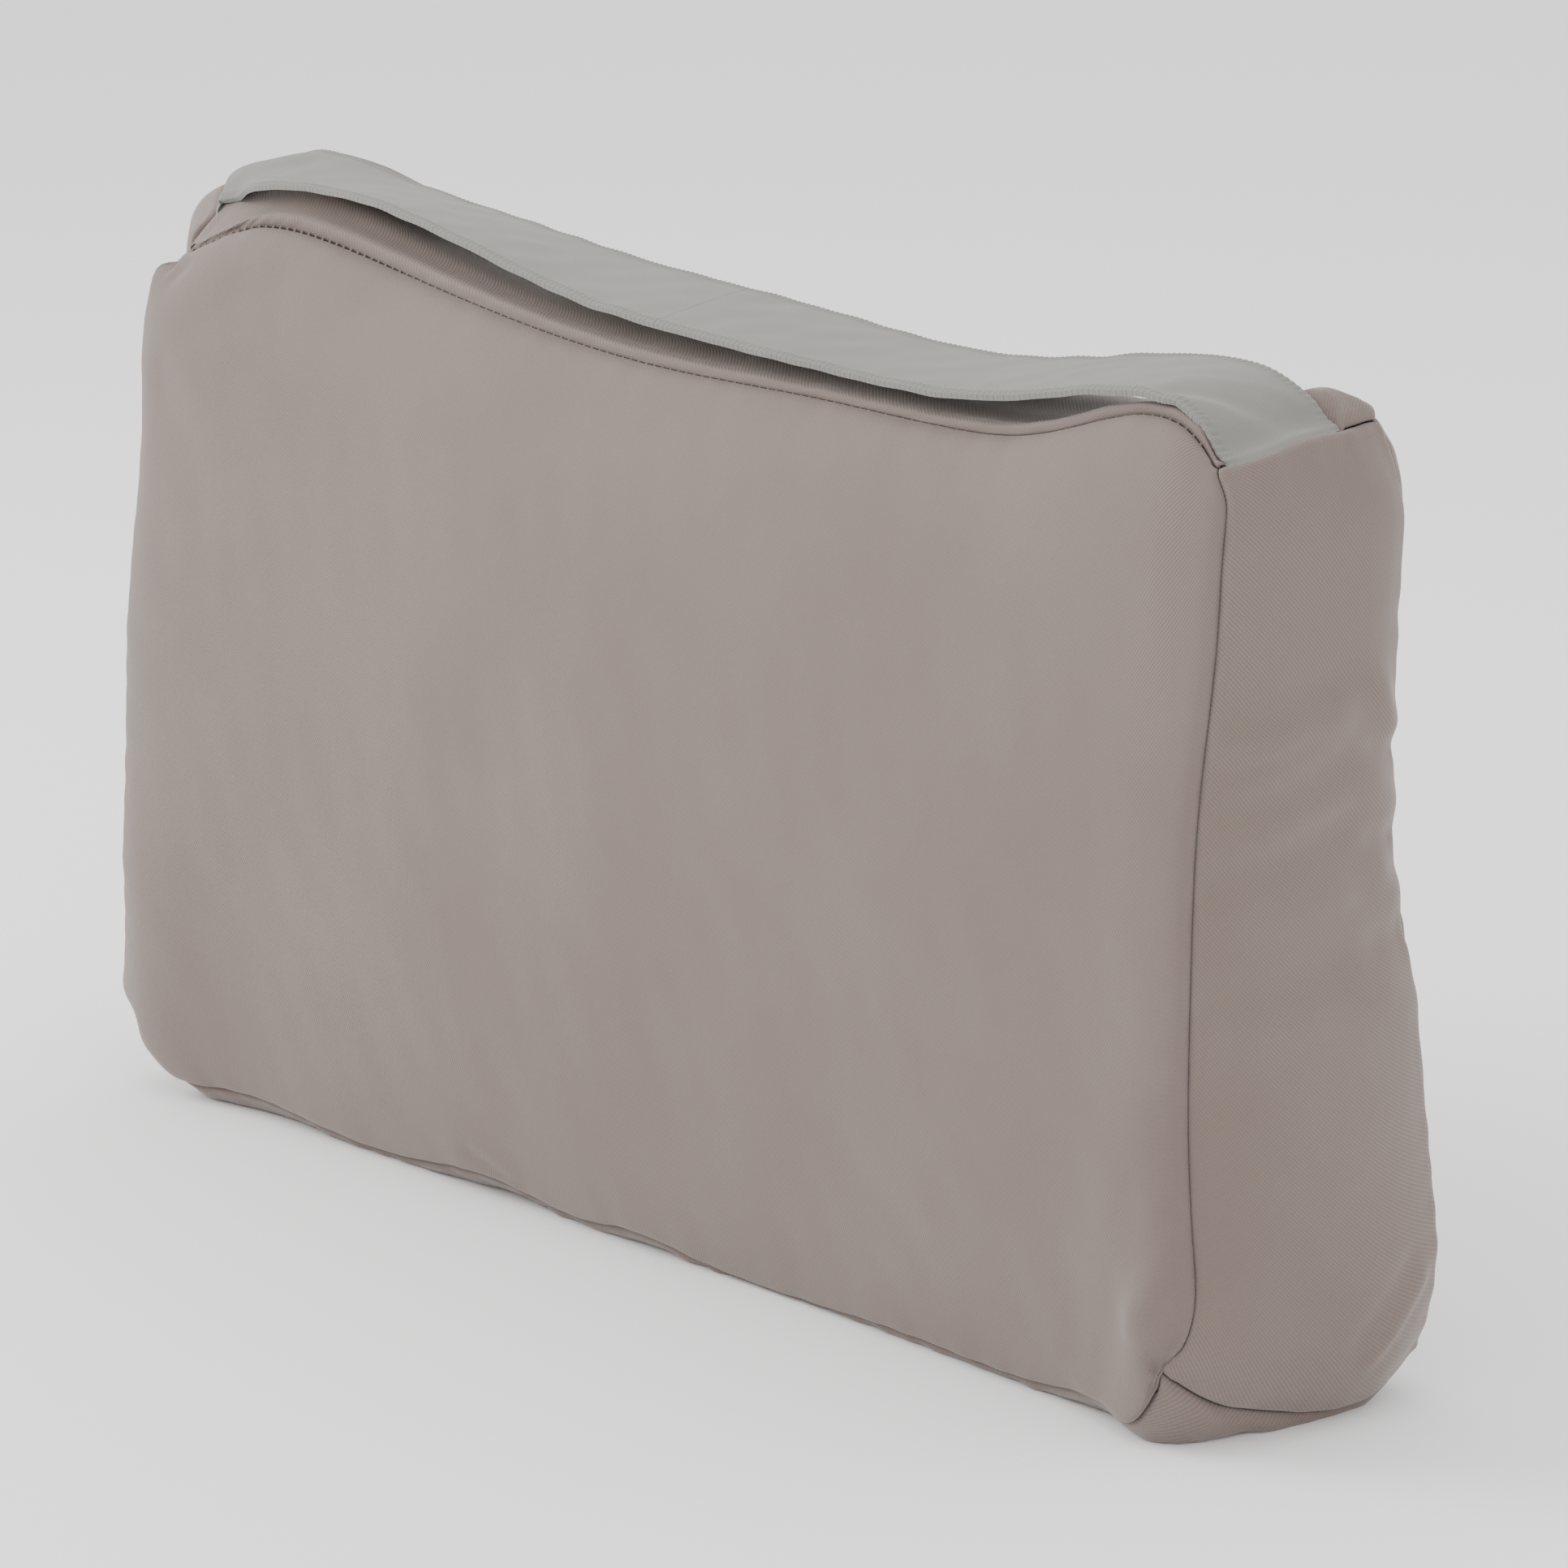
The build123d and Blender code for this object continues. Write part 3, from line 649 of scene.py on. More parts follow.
def relief(name, points, at_u, at_v, du, dv):
    """How far each point of a panel stands proud of the simulated shape."""
    _, _, axes, _, rough, _ = PANELS[name]
    a, b = (points[..., axis] for axis in axes)
    broad, fine, pucker, allowance = [value * MM for value in rough]
    seed = 10 * (1 + list(PANELS).index(name))
    to_seam = np.minimum(du, dv)
    away = 1 - bell(to_seam, 9)
    height = broad * ripples(a, b, seed, 60, 130) * away
    height += fine * ripples(a, b, seed + 1, 14, 32) * away
    height += pucker * ripples(at_u, 0, seed + 2, 7, 16)[:, None] * beside(dv, 5 * MM)
    height += pucker * ripples(at_v, 0, seed + 3, 7, 16)[None, :] * beside(du, 5 * MM)
    for distance in (du, dv):
        height += allowance * bell(distance, 1.2, centre=2.6)
    for fold in FOLDS[name]:
        height += crease(a, b, fold) * (1 - bell(to_seam, 2.5))
    if name == "top_gusset":
        size = through(TOP_ROLL, at_u - HALF_WIDTH)[:, 0]
        height += size[:, None] * bell(at_v, TOP_ROLL_WIDTH, centre=TOP_ROLL_AT)
    return height


def tucked_in(x):
    """How far the back, its hems and the zip tapes turn in beyond the zip's stops."""
    return ZIP_TUCK * eased((np.abs(x) - ZIP_END) / (HALF_WIDTH - ZIP_END))


def make_panel(name):
    """One panel of the cover: a fine closed sheet over its part of the lattice."""
    place, outward, _, steps, _, _ = PANELS[name]
    coarse = grid[place]
    long_u, long_v = lengths_along(coarse, 0), lengths_along(coarse, 1)
    start_v, end_v = 0, long_v[-1]
    if name == "back_panel_lower":
        end_v -= HEM_FROM_ZIP
    if name == "back_panel_upper":
        start_v += HEM_FROM_ZIP
    step_u, step_v = (step * MM for step in steps)
    at_u, at_v = fine_places(0, long_u[-1], step_u), fine_places(start_v, end_v, step_v)
    weights = spline_weights(long_u, at_u), spline_weights(long_v, at_v)
    points = np.einsum("ai,bj,ijc->abc", *weights, coarse)
    sideways = np.einsum("ai,bj,ijc->abc", *weights, OUTWARD[place])
    du = np.minimum(at_u, at_u[-1] - at_u)[:, None]
    dv = np.minimum(at_v - at_v[0], at_v[-1] - at_v)[None, :]
    first_u = (at_u < at_u[-1] / 2)[:, None, None]
    first_v = (at_v < (at_v[0] + at_v[-1]) / 2)[None, :, None]
    normals = grid_normals(points, outward)
    points += normals * relief(name, points, at_u, at_v, du, dv)[..., None]
    if name == "top_gusset":
        points = under_strap(points)
    if name.startswith("back"):
        near = np.abs(points[..., Z] - ZIP_HEIGHT) < ZIP_BESIDE
        over_zip = ZIP_Y + COVER_CLEAR_OF_ZIP - tucked_in(points[..., X])
        points[..., Y] = np.maximum(points[..., Y], np.where(near, over_zip, 0))
    share = np.interp(at_u[:, None] - HALF_WIDTH, *SEAM_OPEN)
    opened = 1
    if name == "front_panel":
        opened = np.where(first_v[..., 0], 1, share)
    if name == "top_gusset":
        opened = np.where(first_v[..., 0], share, 1)
    for distance, first, low, high, open_by in (
        (du, first_u, sideways[:1], sideways[-1:], END_SEAMS_OPEN),
        (dv, first_v, sideways[:, :1], sideways[:, -1:], opened),
    ):
        depth = np.interp(distance, GROOVE[:, 0], GROOVE[:, 1]) * open_by
        points -= np.where(first, low, high) * depth[..., None]
    points[..., Z] = np.maximum(points[..., Z], 0)
    return closed_sheet(name + "_cloth", points, outward)


# ---------------- thread
def tubes(name, paths, across, radius, sides=6):
    """One mesh of round threads along paths [n, m, 3]; across is never along a path."""
    paths = np.asarray(paths, float)
    count, steps = paths.shape[:2]
    along = np.gradient(paths, axis=1)
    along /= np.linalg.norm(along, axis=-1, keepdims=True)
    first = np.cross(along, across)
    first /= np.linalg.norm(first, axis=-1, keepdims=True)
    second = np.cross(along, first)
    angles = np.arange(sides) * 2 * math.pi / sides
    rings = paths[:, :, None] + radius * (
        first[:, :, None] * np.cos(angles)[:, None] + second[:, :, None] * np.sin(angles)[:, None]
    )
    index = np.arange(count * steps * sides).reshape(count, steps, sides)
    a, b = index[:, :-1], index[:, 1:]
    quads = np.stack([a, b, np.roll(b, -1, axis=2), np.roll(a, -1, axis=2)], axis=-1)
    faces = quads.reshape(-1, 4).tolist()
    faces += index[:, 0].tolist() + index[:, -1, ::-1].tolist()
    return smoothed(new_object(name, rings.reshape(-1, 3), faces))


def along_line(points, places):
    """Points at the given distances along a line of points."""
    step = np.linalg.norm(np.diff(points[:, :3], axis=0), axis=1)
    return spline_weights(np.concatenate([[0], np.cumsum(step)]), places) @ points


def line_length(points):
    return np.linalg.norm(np.diff(points, axis=0), axis=1).sum()


# ---------------- materials
WAVE_SCALE = 0.314          # what a wave texture's scale is for ribs one unit apart
PORE_SCALE = 900


def set_sockets(node, **constants):
    """Set a node's own sockets by name, with _ for each space."""
    for socket, value in constants.items():
        node.inputs[socket.replace("_", " ")].default_value = value


class Finish:
    """A material under construction: a principled shader and the nodes that feed it."""

    def __init__(self, name, roughness, specular, sheen=(0, 0.5), coat=0):
        self.made = bpy.data.materials.new(name)
        self.made.use_nodes = True
        self.nodes = self.made.node_tree.nodes
        self.nodes.clear()
        self.shader = self.nodes.new("ShaderNodeBsdfPrincipled")
        out = self.nodes.new("ShaderNodeOutputMaterial")
        self.link(self.shader.outputs[0], out.inputs[0])
        set_sockets(
            self.shader, Roughness=roughness, Specular_IOR_Level=specular, Coat_Weight=coat,
            Sheen_Weight=sheen[0], Sheen_Roughness=sheen[1],
        )

    def link(self, source, socket):
        self.made.node_tree.links.new(source, socket)

    def place(self, cut, turn=0, scale=(1, 1, 1)):
        """Where on the piece: on its flat cut, or in space."""
        if cut:
            source = self.nodes.new("ShaderNodeUVMap").outputs[0]
        else:
            source = self.nodes.new("ShaderNodeTexCoord").outputs["Object"]
        mapping = self.nodes.new("ShaderNodeMapping")
        mapping.inputs["Rotation"].default_value[2] = math.radians(turn)
        mapping.inputs["Scale"].default_value = scale
        self.link(source, mapping.inputs[0])
        return mapping.outputs[0]

    def texture(self, kind, place, output, **constants):
        texture = self.nodes.new("ShaderNodeTex" + kind)
        self.link(place, texture.inputs[0])
        set_sockets(texture, **constants)
        return texture.outputs[output]

    def ribs(self, place, pitch, distortion):
        scale = WAVE_SCALE / (pitch * MM)
        return self.texture(
            "Wave", place, "Fac", Scale=scale, Distortion=distortion, Detail=2, Detail_Scale=1.5
        )

    def noise(self, place, size, detail=3, roughness=0.5):
        scale = 1 / (size * MM)
        return self.texture("Noise", place, 0, Scale=scale, Detail=detail, Roughness=roughness)

    def graded(self, value, low, high, out_low=0, out_high=1):
        """A value's stretch from low to high, spread from out_low to out_high."""
        grade = self.nodes.new("ShaderNodeMapRange")
        for number, setting in enumerate((low, high, out_low, out_high), start=1):
            grade.inputs[number].default_value = setting
        self.link(value, grade.inputs[0])
        return grade.outputs[0]

    def combined(self, operation, a, b):
        node = self.nodes.new("ShaderNodeMath")
        node.operation = operation
        for socket, value in zip(node.inputs, (a, b)):
            if isinstance(value, (int, float)):
                socket.default_value = value
            else:
                self.link(value, socket)
        return node.outputs[0]

    def blended(self, factor, a, b):
        """A colour between a and b, each a colour or another node's output."""
        node = self.nodes.new("ShaderNodeMix")
        node.data_type = "RGBA"
        self.link(factor, node.inputs["Factor"])
        for socket, value in ((node.inputs["A"], a), (node.inputs["B"], b)):
            if isinstance(value, tuple):
                socket.default_value = (*value, 1)
            else:
                self.link(value, socket)
        return node.outputs["Result"]

    def coloured(self, factor, low, high):
        self.link(self.blended(factor, low, high), self.shader.inputs["Base Color"])

    def yarn_coloured(self, weave, tone, colour, high_a, high_b):
        """Painted shade between the yarns, and from high_a to high_b on top of them."""
        low = self.blended(tone, darker(colour, 0.80), darker(colour, 0.86))
        self.coloured(weave, low, self.blended(tone, high_a, high_b))

    def pit_coloured(self, factor, tone, colour):
        """Painted shade where the factor is low (inside pores and between threads), and elsewhere
        the colour with a change of tone.
        """
        high = self.blended(tone, darker(colour, 0.95), colour)
        self.coloured(factor, darker(colour, 0.8), high)

    def raised(self, *heights):
        """Fine surface relief from (value, millimetres) pairs."""
        normal = None
        for value, depth in heights:
            bump = self.nodes.new("ShaderNodeBump")
            bump.inputs["Strength"].default_value = 1
            bump.inputs["Distance"].default_value = depth * MM
            self.link(value, bump.inputs["Height"])
            if normal is not None:
                self.link(normal, bump.inputs["Normal"])
            normal = bump.outputs[0]
        self.link(normal, self.shader.inputs["Normal"])
        return self.made


def darker(colour, share):
    return tuple(part * share for part in colour)


TAUPE = (0.172, 0.128, 0.110)
# the lighter, yellower end of the cover's broad changes of tone: partly the cloth's random tone,
# partly painted broad satin highlight
TAUPE_TONE_AND_SHEEN = (0.194, 0.153, 0.133)


def twill(name, turn, pitch):
    """Satin-faced twill: slanting ribs broken into floats, with painted shade between the yarns,
    and slow changes of tone that are partly painted broad satin highlight.
    """
    cloth = Finish(name, 0.62, 0.3, sheen=(0.22, 0.45))
    across, along = cloth.place(True, turn), cloth.place(True, turn + 90)
    ribs = cloth.ribs(across, pitch, 0.7)
    floats = cloth.ribs(along, pitch * 1.7, 3.0)
    yarn = cloth.noise(cloth.place(True, turn, (1, 0.2, 1)), 0.35)
    # broad patches that run lighter and yellower: partly the cloth's random tone, partly painted
    # satin highlight
    tone = cloth.graded(cloth.noise(cloth.place(False), 55, 4), 0.35, 0.65)
    weave = cloth.combined("MULTIPLY", ribs, cloth.graded(floats, 0, 1, 0.75, 1))
    weave = cloth.combined("MULTIPLY", weave, cloth.graded(yarn, 0.25, 0.75, 0.8, 1.1))
    cloth.yarn_coloured(weave, tone, TAUPE, darker(TAUPE, 1.02), TAUPE_TONE_AND_SHEEN)
    return cloth.raised((weave, 0.055), (yarn, 0.03))


def woven_tape(name, colour, pitch):
    """Narrow tape: a fine even twill with dry yarn, painted shade between the yarns, and soft
    shading.
    """
    tape = Finish(name, 0.7, 0.3, sheen=(0.15, 0.5))
    one = tape.ribs(tape.place(True, 56), pitch, 0.4)
    other = tape.ribs(tape.place(True, 0), pitch * 0.8, 0.3)
    yarn = tape.noise(tape.place(True, 0, (0.25, 1, 1)), 0.4)
    tone = tape.graded(tape.noise(tape.place(False), 30, 3), 0.35, 0.65)
    weave = tape.combined("MULTIPLY", one, tape.graded(other, 0, 1, 0.7, 1))
    tape.yarn_coloured(weave, tone, colour, darker(colour, 0.98), darker(colour, 1.08))
    return tape.raised((weave, 0.05), (yarn, 0.03))


def plastic(name, colour, roughness):
    """Moulded or extruded plastic with a faint uneven skin."""
    skin = Finish(name, roughness, 0.45)
    grain = skin.noise(skin.place(False), 0.9)
    skin.coloured(grain, darker(colour, 0.85), darker(colour, 1.1))
    return skin.raised((grain, 0.02))


def painted_metal(name, colour, bare):
    """Enamelled zinc, rubbed through in fine specks."""
    paint = Finish(name, 0.38, 0.5, coat=0.2)
    specks = paint.graded(paint.noise(paint.place(False), 1.3, 5, 0.65), 0.6, 0.72)
    grain = paint.noise(paint.place(False), 0.5)
    paint.coloured(specks, colour, bare)
    paint.link(paint.graded(specks, 0, 1, 0.42, 0.25), paint.shader.inputs["Roughness"])
    paint.link(specks, paint.shader.inputs["Metallic"])
    return paint.raised((grain, 0.015))


def open_cell_foam(name, colour):
    """Cut polyurethane foam, with pores."""
    foam = Finish(name, 0.95, 0.15)
    pores = foam.texture("Voronoi", foam.place(False), "Distance", Scale=PORE_SCALE)
    pits = foam.graded(pores, 0, 0.6)
    tone = foam.noise(foam.place(False), 18)
    # the pores are painted darker, as the shade inside them
    foam.pit_coloured(pits, tone, colour)
    return foam.raised((pits, 0.25), (tone, 0.3))


def fleece(name, colour):
    """Fibre wadding: lofty tangled fibre."""
    pad = Finish(name, 0.95, 0.1, sheen=(0.3, 0.6))
    fibre = pad.noise(pad.place(False, 20, (1, 4, 1)), 2.5, 8, 0.75)
    clumps = pad.noise(pad.place(False), 12, 4)
    pad.coloured(fibre, darker(colour, 0.85), colour)
    return pad.raised((clumps, 1.0), (fibre, 0.4))


def plain_weave(name, colour):
    """Thin plain-woven lining."""
    cloth = Finish(name, 0.75, 0.25, sheen=(0.15, 0.5))
    warp = cloth.ribs(cloth.place(True, 0), 0.5, 0.4)
    weft = cloth.ribs(cloth.place(True, 90), 0.5, 0.4)
    weave = cloth.combined("MAXIMUM", warp, weft)
    tone = cloth.noise(cloth.place(False), 25)
    # painted shade in the gaps between warp and weft
    cloth.pit_coloured(weave, tone, colour)
    return cloth.raised((weave, 0.04))


TWILLS = {
    "front": twill("cover_twill_front", 32, 0.64),
    "back": twill("cover_twill_back", -32, 0.64),
    "boxing": twill("cover_twill_boxing", -49, 0.79),
    "mirrored": twill("cover_twill_boxing_mirrored", 49, 0.79),
}
STRAP_WEAVE = woven_tape("strap_weave", (0.200, 0.197, 0.180), 0.62)
THREAD = woven_tape("sewing_thread", (0.215, 0.170, 0.148), 0.3)
ZIP_WEAVE = woven_tape("zip_tape_weave", (0.27, 0.238, 0.218), 0.5)
COIL_PLASTIC = plastic("zip_coil_nylon", (0.26, 0.23, 0.21), 0.42)
ZIP_PAINT = painted_metal("zip_enamel", (0.19, 0.168, 0.155), (0.55, 0.54, 0.52))
LINING = plain_weave("liner_weave", (0.72, 0.71, 0.68))
WADDING = fleece("wadding_fibre", (0.84, 0.84, 0.82))
FOAM = open_cell_foam("core_foam", (0.80, 0.76, 0.62))


def finished(piece, body, slot, finish, *nodes):
    """Everything that each new piece needs: its material, its body and the CAD nodes that it
    hides; slot is not used.
    """
    piece.data.materials.append(finish)
    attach(piece, body)
    if nodes:
        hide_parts(*nodes)
    return piece


# ---------------- cover
for name, (*_, cloth) in PANELS.items():
    finished(make_panel(name), "root", "cover_twill", TWILLS[cloth], name)

STITCH_PITCH = 3 * MM


def stitches(name, arch, middle, across, out, along, radius, sunk=0):
    """Threads that rise outwards in an arch across each place on a line."""
    paths = np.stack([
        middle + across * side * MM + out * (up * MM - sunk) for side, up in arch
    ], axis=1)
    finished(tubes(name, paths, along, radius), "root", "cover_twill", THREAD)


def seam_stitches():
    """Threads that show across the top front seam, where the stuffing pulls it open."""
    seam = np.concatenate([grid[:, 0, -1], OUTWARD[:, 0, -1]], axis=1)
    places = np.arange(8 * MM, line_length(seam[:, :3]) - 8 * MM, STITCH_PITCH)
    line = along_line(seam, places)
    middle, out = line[:, :3], line[:, 3:]
    out /= np.linalg.norm(out, axis=1, keepdims=True)
    along = np.gradient(middle, axis=0)
    along /= np.linalg.norm(along, axis=1, keepdims=True)
    across = np.cross(along, out)
    # pulled open on the left, nearly closed on the right
    sunk = np.interp(middle[:, X], [-0.13, -0.09, 0.0, 0.1], [0.15, 0.3, 0.5, 0.8]) * MM
    arch = [(-1.0, -0.55), (-0.6, -0.12), (0, 0.0), (0.6, -0.12), (1.0, -0.55)]
    stitches(
        "top_seam_stitches", arch, middle, across, out, along[:, None], 0.36 * MM, sunk[:, None]
    )


def hem_stitches(name, row):
    """The row of topstitching that holds the zip tape to a folded hem."""
    piece = bpy.data.objects[name + "_cloth"]
    points = mesh_points(piece.data)
    wanted = ZIP_HEIGHT + row * (HEM_FROM_ZIP + 3.5 * MM)
    near = points[np.abs(points[:, Z] - wanted) < 1.6 * MM]
    x = np.arange(-190 * MM, 190 * MM, STITCH_PITCH)
    y = np.array([near[np.argsort(np.abs(near[:, X] - at))[:6], Y].max() for at in x])
    middle = np.stack([x, y, np.full(len(x), wanted)], axis=1)
    arch = [(-1.25, -0.3), (-0.9, 0.05), (0, 0.12), (0.9, 0.05), (1.25, -0.3)]
    to_right, to_back, up = np.eye(3)
    stitches(name + "_topstitch", arch, middle, to_right, to_back, up, 0.22 * MM)


seam_stitches()
hem_stitches("back_panel_upper", 1)
hem_stitches("back_panel_lower", -1)

# ---------------- strap
STRAP_STEP = 0.42 * MM
SELVEDGE = 2.4 * MM
LOOP_PITCH = 1.75 * MM
STRAP_END = 197 * MM        # where both ends go into the end seams
STRAP_FIXED_STRETCH = 172 * MM  # from here out it is eased on to the end seams


def strap_band():
    """The strap's upper and lower surfaces: a thick woven band with looped selvedges."""
    x = np.linspace(-STRAP_END, STRAP_END, 3000)
    line = np.stack([x, 0 * x, strap_height(x, np.full(len(x), 0.5))], axis=1)
    length = line_length(line)
    along = np.linspace(0, length, 2 * int(length / 2 / STRAP_STEP) + 1)
    x = along_line(line, along)[:, None, 0]
    along = along[:, None]
    edge = np.array([0, 0.25, 0.6, 1.0, 1.4, 1.8, 2.2, 2.6, 3.2]) * MM
    middle = np.linspace(4.6 * MM, STRAP_WIDTH - 4.6 * MM, 15)
    wide = np.concatenate([edge, middle, STRAP_WIDTH - edge[::-1]])[None, :]
    x, wide, along = np.broadcast_arrays(x, wide, along)
    across = wide / STRAP_WIDTH
    depth = strap_depth(x, across)
    for i, side in ((0, LEFT), (-1, RIGHT)):
        ramp = eased((side * x - STRAP_FIXED_STRETCH) / (STRAP_END - STRAP_FIXED_STRETCH))
        x = x + (end_seam_at(i, depth)[0] - side * STRAP_END) * ramp
    points = np.stack([x, depth, strap_height(x, across)], axis=-1)
    to_end = np.minimum(along, length - along)
    points[..., Z] -= 1.3 * MM * bell(to_end, 1.3)
    inside = np.minimum(wide, STRAP_WIDTH - wide)
    off_band = (inside - SELVEDGE / 2) / (SELVEDGE / 2)
    loops = np.abs(np.sin(math.pi * (along / LOOP_PITCH + 0.35 * np.abs(off_band))))
    rise = np.clip(1 - off_band**2, 0, 1) * (0.02 + 0.45 * loops) * MM
    rise -= 0.35 * MM * bell(inside, 0.3)
    rise += 0.15 * MM * ripples(along, wide, 77, 9, 22)
    normals = grid_normals(points)
    points = points + normals * rise[..., None]
    side = np.where(wide < STRAP_WIDTH / 2, -1, 1)
    points[..., Y] += side * 0.16 * MM * loops * np.exp(-inside / (0.5 * MM))
    return points, points - normals * STRAP_THICKNESS, length


def strap_halves():
    """One tape, built whole and cut at its middle into two halves, each running to one end seam.
    One tape in two halves, because each may deform towards only one fixed end.
    """
    upper, lower, length = strap_band()
    half = len(upper) // 2
    for name, side, rows, nodes in (
        ("left", LEFT, slice(None, half + 1), ("strap_left_leg", "strap_grip")),
        ("right", RIGHT, slice(half, None), ("strap_right_leg",)),
    ):
        under = lower[rows].copy()
        band = closed_sheet("strap_" + name + "_half", upper[rows], True, inner=under)
        band.data.materials.append(STRAP_WEAVE)
        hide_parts(*nodes)
        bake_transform(band)


strap_halves()

# ---------------- zip
COIL_PITCH = 1.6 * MM
COIL_WIRE = 0.3 * MM
COIL_OFF_MIDDLE = 0.28 * MM
COIL_STEPS = 12


def zip_coil(row):
    """One row of nylon coil, each turn a loop with its head at the zip's middle."""
    low, high = COIL_BOX[row]
    side = 1 if row == "upper" else -1
    outer = high[Z] if side > 0 else low[Z]
    head = ZIP_HEIGHT + side * (COIL_OFF_MIDDLE + COIL_WIRE)
    centre = (head + outer - side * COIL_WIRE) / 2
    reach = abs(outer - head - side * COIL_WIRE) / 2
    depth = (high[Y] - low[Y]) / 2 - COIL_WIRE
    turns = int((high[X] - low[X] - 2 * COIL_PITCH) / COIL_PITCH)
    turn = np.arange(turns * COIL_STEPS) / COIL_STEPS
    angle = 2 * math.pi * turn
    phase = 0.5 if side < 0 else 0
    path = np.stack([
        low[X] + COIL_PITCH * (0.75 + turn + phase),
        (low[Y] + high[Y]) / 2 + depth * np.sin(angle),
        centre - side * reach * np.cos(angle),
    ], axis=1)
    return tubes("zip_coil_" + row + "_turns", path[None], (1, 0, 0), COIL_WIRE)


def zip_tape(row):
    """One woven zip tape, with a thicker cord edge beside the coil."""
    low, high = TAPE_BOX[row]
    x = np.linspace(low[X] - ZIP_SEWN_IN, high[X] + ZIP_SEWN_IN, 260)[:, None]
    z = np.linspace(low[Z], high[Z], 24)[None, :]
    from_chain = np.abs(z - ZIP_HEIGHT)
    y = high[Y] - 0.12 * MM + 0.1 * MM * ripples(x, z, 31, 12, 30)
    y = y + 0.12 * MM * bell(from_chain, 0.5, centre=4.2)
    y = y - tucked_in(x)
    x, z, y = np.broadcast_arrays(x, z, y)
    points = np.stack([x, y, z], axis=-1)
    return closed_sheet("zip_tape_" + row + "_weave", points, False, 0.5 * MM)


for row in ("upper", "lower"):
    tape = finished(zip_tape(row), "root", "zip_tape", ZIP_WEAVE, "zip_tape_" + row)
    finished(zip_coil(row), "root", "zip_coil", COIL_PLASTIC, "zip_coil_" + row)
for node in ("zip_slider", "zip_pull", "zip_closed_stops", "zip_open_stop"):
    for place in bpy.data.objects[node].material_slots:
        place.material = ZIP_PAINT

# ---------------- filling
END_SLACK = 4.2 * MM        # the filling reaches this much less far out than the cover
LINER_IN = 3.4 * MM
LINER_BACK_IN = 7.6 * MM
LINER_THICKNESS = 0.5 * MM
PAD_IN = LINER_IN + 1.4 * MM
PAD_BACK_IN = LINER_BACK_IN + 1.4 * MM
FRONT_PAD, BACK_PAD = 9.5 * MM, 6.5 * MM
CORE_IN = PAD_IN + 3.5 * MM


def inset_lattice(side, front, back, cap):
    """The cover's lattice drawn in from its ends, front, back and caps, in metres."""
    inner = grid.copy()
    t = GRID_Y[None, :, None]
    middle = FRONT_TOP[1] / 2
    furthest = HALF_WIDTH + END_SLACK - side
    inner[..., X] = np.clip(inner[..., X] * (1 - side / HALF_WIDTH), -furthest, furthest)
    inner[..., Y] += front * (1 - t) - back * t
    inner[..., Z] = middle + (inner[..., Z] - middle) * (1 - cap / middle)
    return inner


def liner():
    """The liner bag: its front, its back, and a boxing band in one ring round the ends."""
    inner = inset_lattice(LINER_IN, LINER_IN, LINER_BACK_IN, LINER_IN)
    ring = np.concatenate([
        inner[:, :, 0],
        inner[-1].transpose(1, 0, 2)[1:],
        inner[::-1, :, -1][1:],
        inner[0].transpose(1, 0, 2)[::-1][1:],
    ])
    for node, points, outward in (
        ("liner_front", inner[:, 0], True), ("liner_back", inner[:, -1], False),
        ("liner_band", ring, False),
    ):
        piece = closed_sheet(node + "_cloth", points, outward, LINER_THICKNESS)
        finished(piece, "root", "liner_cloth", LINING, node)


def wadding(node, j, inward, thickness):
    """One pad of wadding behind a face of the liner, softly lumpy on both sides."""
    outer = inset_lattice(PAD_IN, PAD_IN, PAD_BACK_IN, PAD_IN)[:, j].copy()
    loft = 0.35 * MM * ripples(outer[..., X], outer[..., Z], 50 + j, 12, 40)
    rim = np.minimum(roll(GRID_X, 1, 0.012)[:, None], roll(GRID_Z, 1, 0.02)[None, :])
    inner = outer.copy()
    outer[..., Y] += inward * ((1 - rim) * thickness * 0.35 + loft * rim)
    inner[..., Y] += inward * (thickness - (1 - rim) * thickness * 0.35 - loft * rim)
    piece = closed_sheet(node + "_pad", outer, inward > 0, inner=inner)
    finished(piece, "root", "fibre_wadding", WADDING, node)


def foam_core():
    """The wedge of foam, cut to shape and eased along its edges."""
    front_in = PAD_IN + FRONT_PAD + 1 * MM
    back_in = PAD_BACK_IN + BACK_PAD + 1 * MM
    inner = inset_lattice(CORE_IN, front_in, back_in, PAD_IN + 1 * MM)
    surface, faces, _ = lattice_surface()
    piece = smoothed(new_object("foam_core_block", inner[surface], faces))
    finished(piece, "root", "foam", FOAM, "foam_core")


liner()
wadding("wadding_front", 0, 1, FRONT_PAD)
wadding("wadding_back", -1, -1, BACK_PAD)
foam_core()

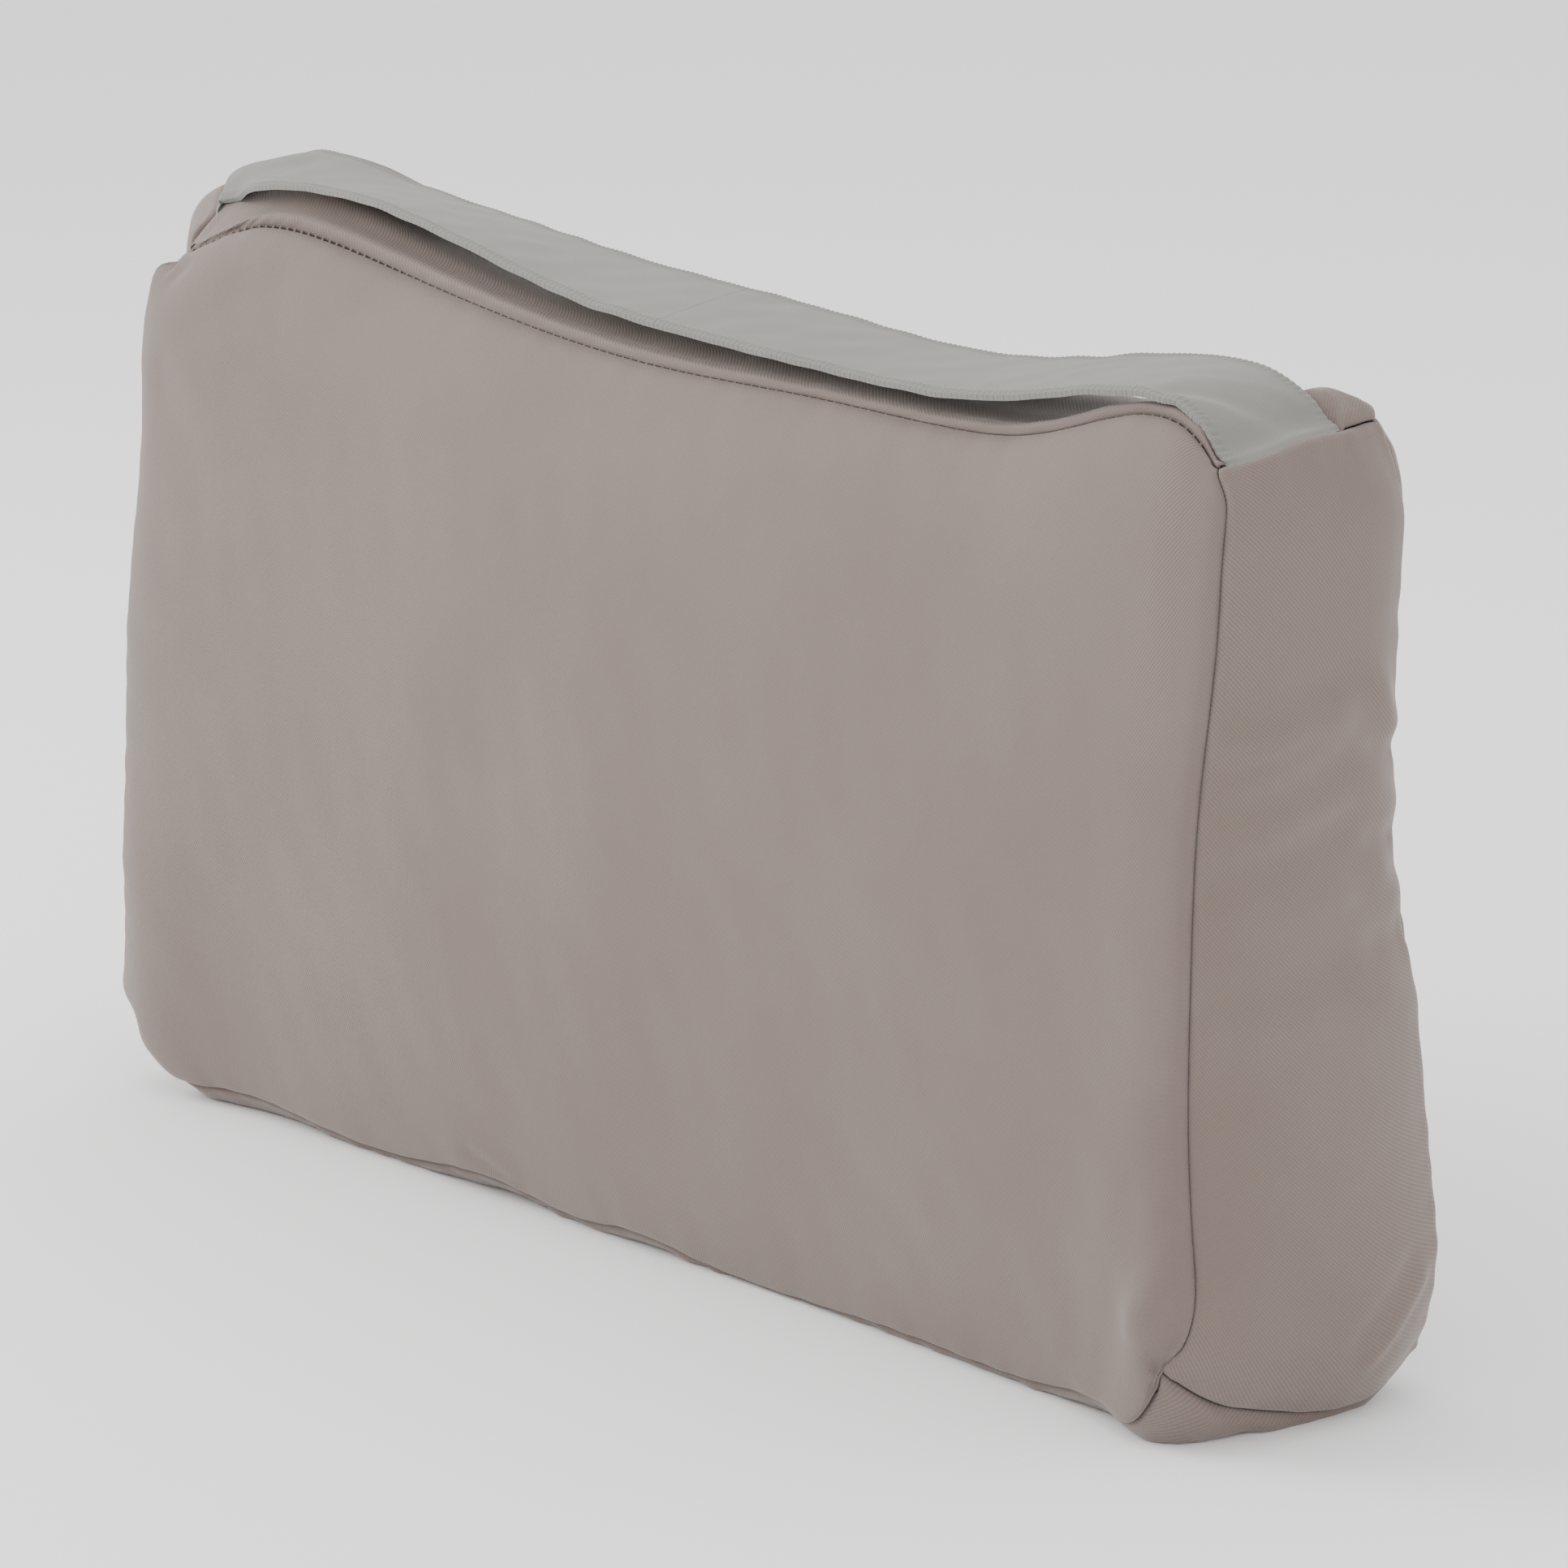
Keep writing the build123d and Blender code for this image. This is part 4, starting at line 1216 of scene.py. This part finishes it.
# ---------------- stage, light, camera
AZIMUTH = math.radians(50.07)
ELEVATION = math.radians(12.75)
DISTANCE = 1.458
AIM = np.array([0.0, -0.0225, 0.144])
AIM_RIGHT, AIM_UP = 0.0333, -0.0270
FOCAL_PIXELS = 7500
PICTURE_PIXELS = 1932
SENSOR = 36
FLOOR_HALF = 12.0
LIT_POINT = (0, 0, 0.12)
WORLD_STRENGTH = 1.45
LIGHTS = [  # name, place, size, power
    ("key", (-1.0, -0.9, 0.95), 0.8, 17),
    ("fill", (2.2, -0.9, 1.0), 1.5, 10),
    ("top", (0.0, 0.2, 2.2), 2.0, 12),
]


def camera():
    back = np.array([
        math.sin(AZIMUTH) * math.cos(ELEVATION),
        -math.cos(AZIMUTH) * math.cos(ELEVATION),
        math.sin(ELEVATION),
    ])
    right = np.array([math.cos(AZIMUTH), math.sin(AZIMUTH), 0])
    up = np.cross(back, right)
    data = bpy.data.cameras.new("camera")
    data.sensor_width = SENSOR
    data.lens = SENSOR * FOCAL_PIXELS / PICTURE_PIXELS
    piece = placed("camera", data)
    piece.location = AIM + right * AIM_RIGHT + up * AIM_UP + back * DISTANCE
    piece.rotation_euler = (math.pi / 2 - ELEVATION, 0, AZIMUTH)
    bpy.context.scene.camera = piece


def floor():
    """A plain pale floor."""
    corners = FLOOR_HALF * np.array([(-1, -1, 0), (1, -1, 0), (1, 1, 0), (-1, 1, 0)])
    piece = new_object("floor", corners, [[0, 1, 2, 3]])
    paint = Finish("floor_paint", 0.9, 0.1)
    paint.shader.inputs["Base Color"].default_value = (0.95, 0.95, 0.95, 1)
    piece.data.materials.append(paint.made)
    piece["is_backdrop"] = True


def area_light(name, place, size, power):
    data = bpy.data.lights.new(name, "AREA")
    data.size = size
    data.energy = power
    piece = placed(name, data)
    piece.location = place
    toward = Vector(LIT_POINT) - Vector(place)
    piece.rotation_euler = toward.to_track_quat("-Z", "Y").to_euler()


def lights():
    world = bpy.data.worlds.new("studio")
    world.use_nodes = True
    background = world.node_tree.nodes["Background"]
    background.inputs["Color"].default_value = (1, 1, 1, 1)
    background.inputs["Strength"].default_value = WORLD_STRENGTH
    bpy.context.scene.world = world
    for light in LIGHTS:
        area_light(*light)


floor()
lights()
camera()
sizes = {"cad": CAD_BOX, "visual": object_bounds()}
sizes = {key: [[float(value) for value in corner] for corner in box] for key, box in sizes.items()}
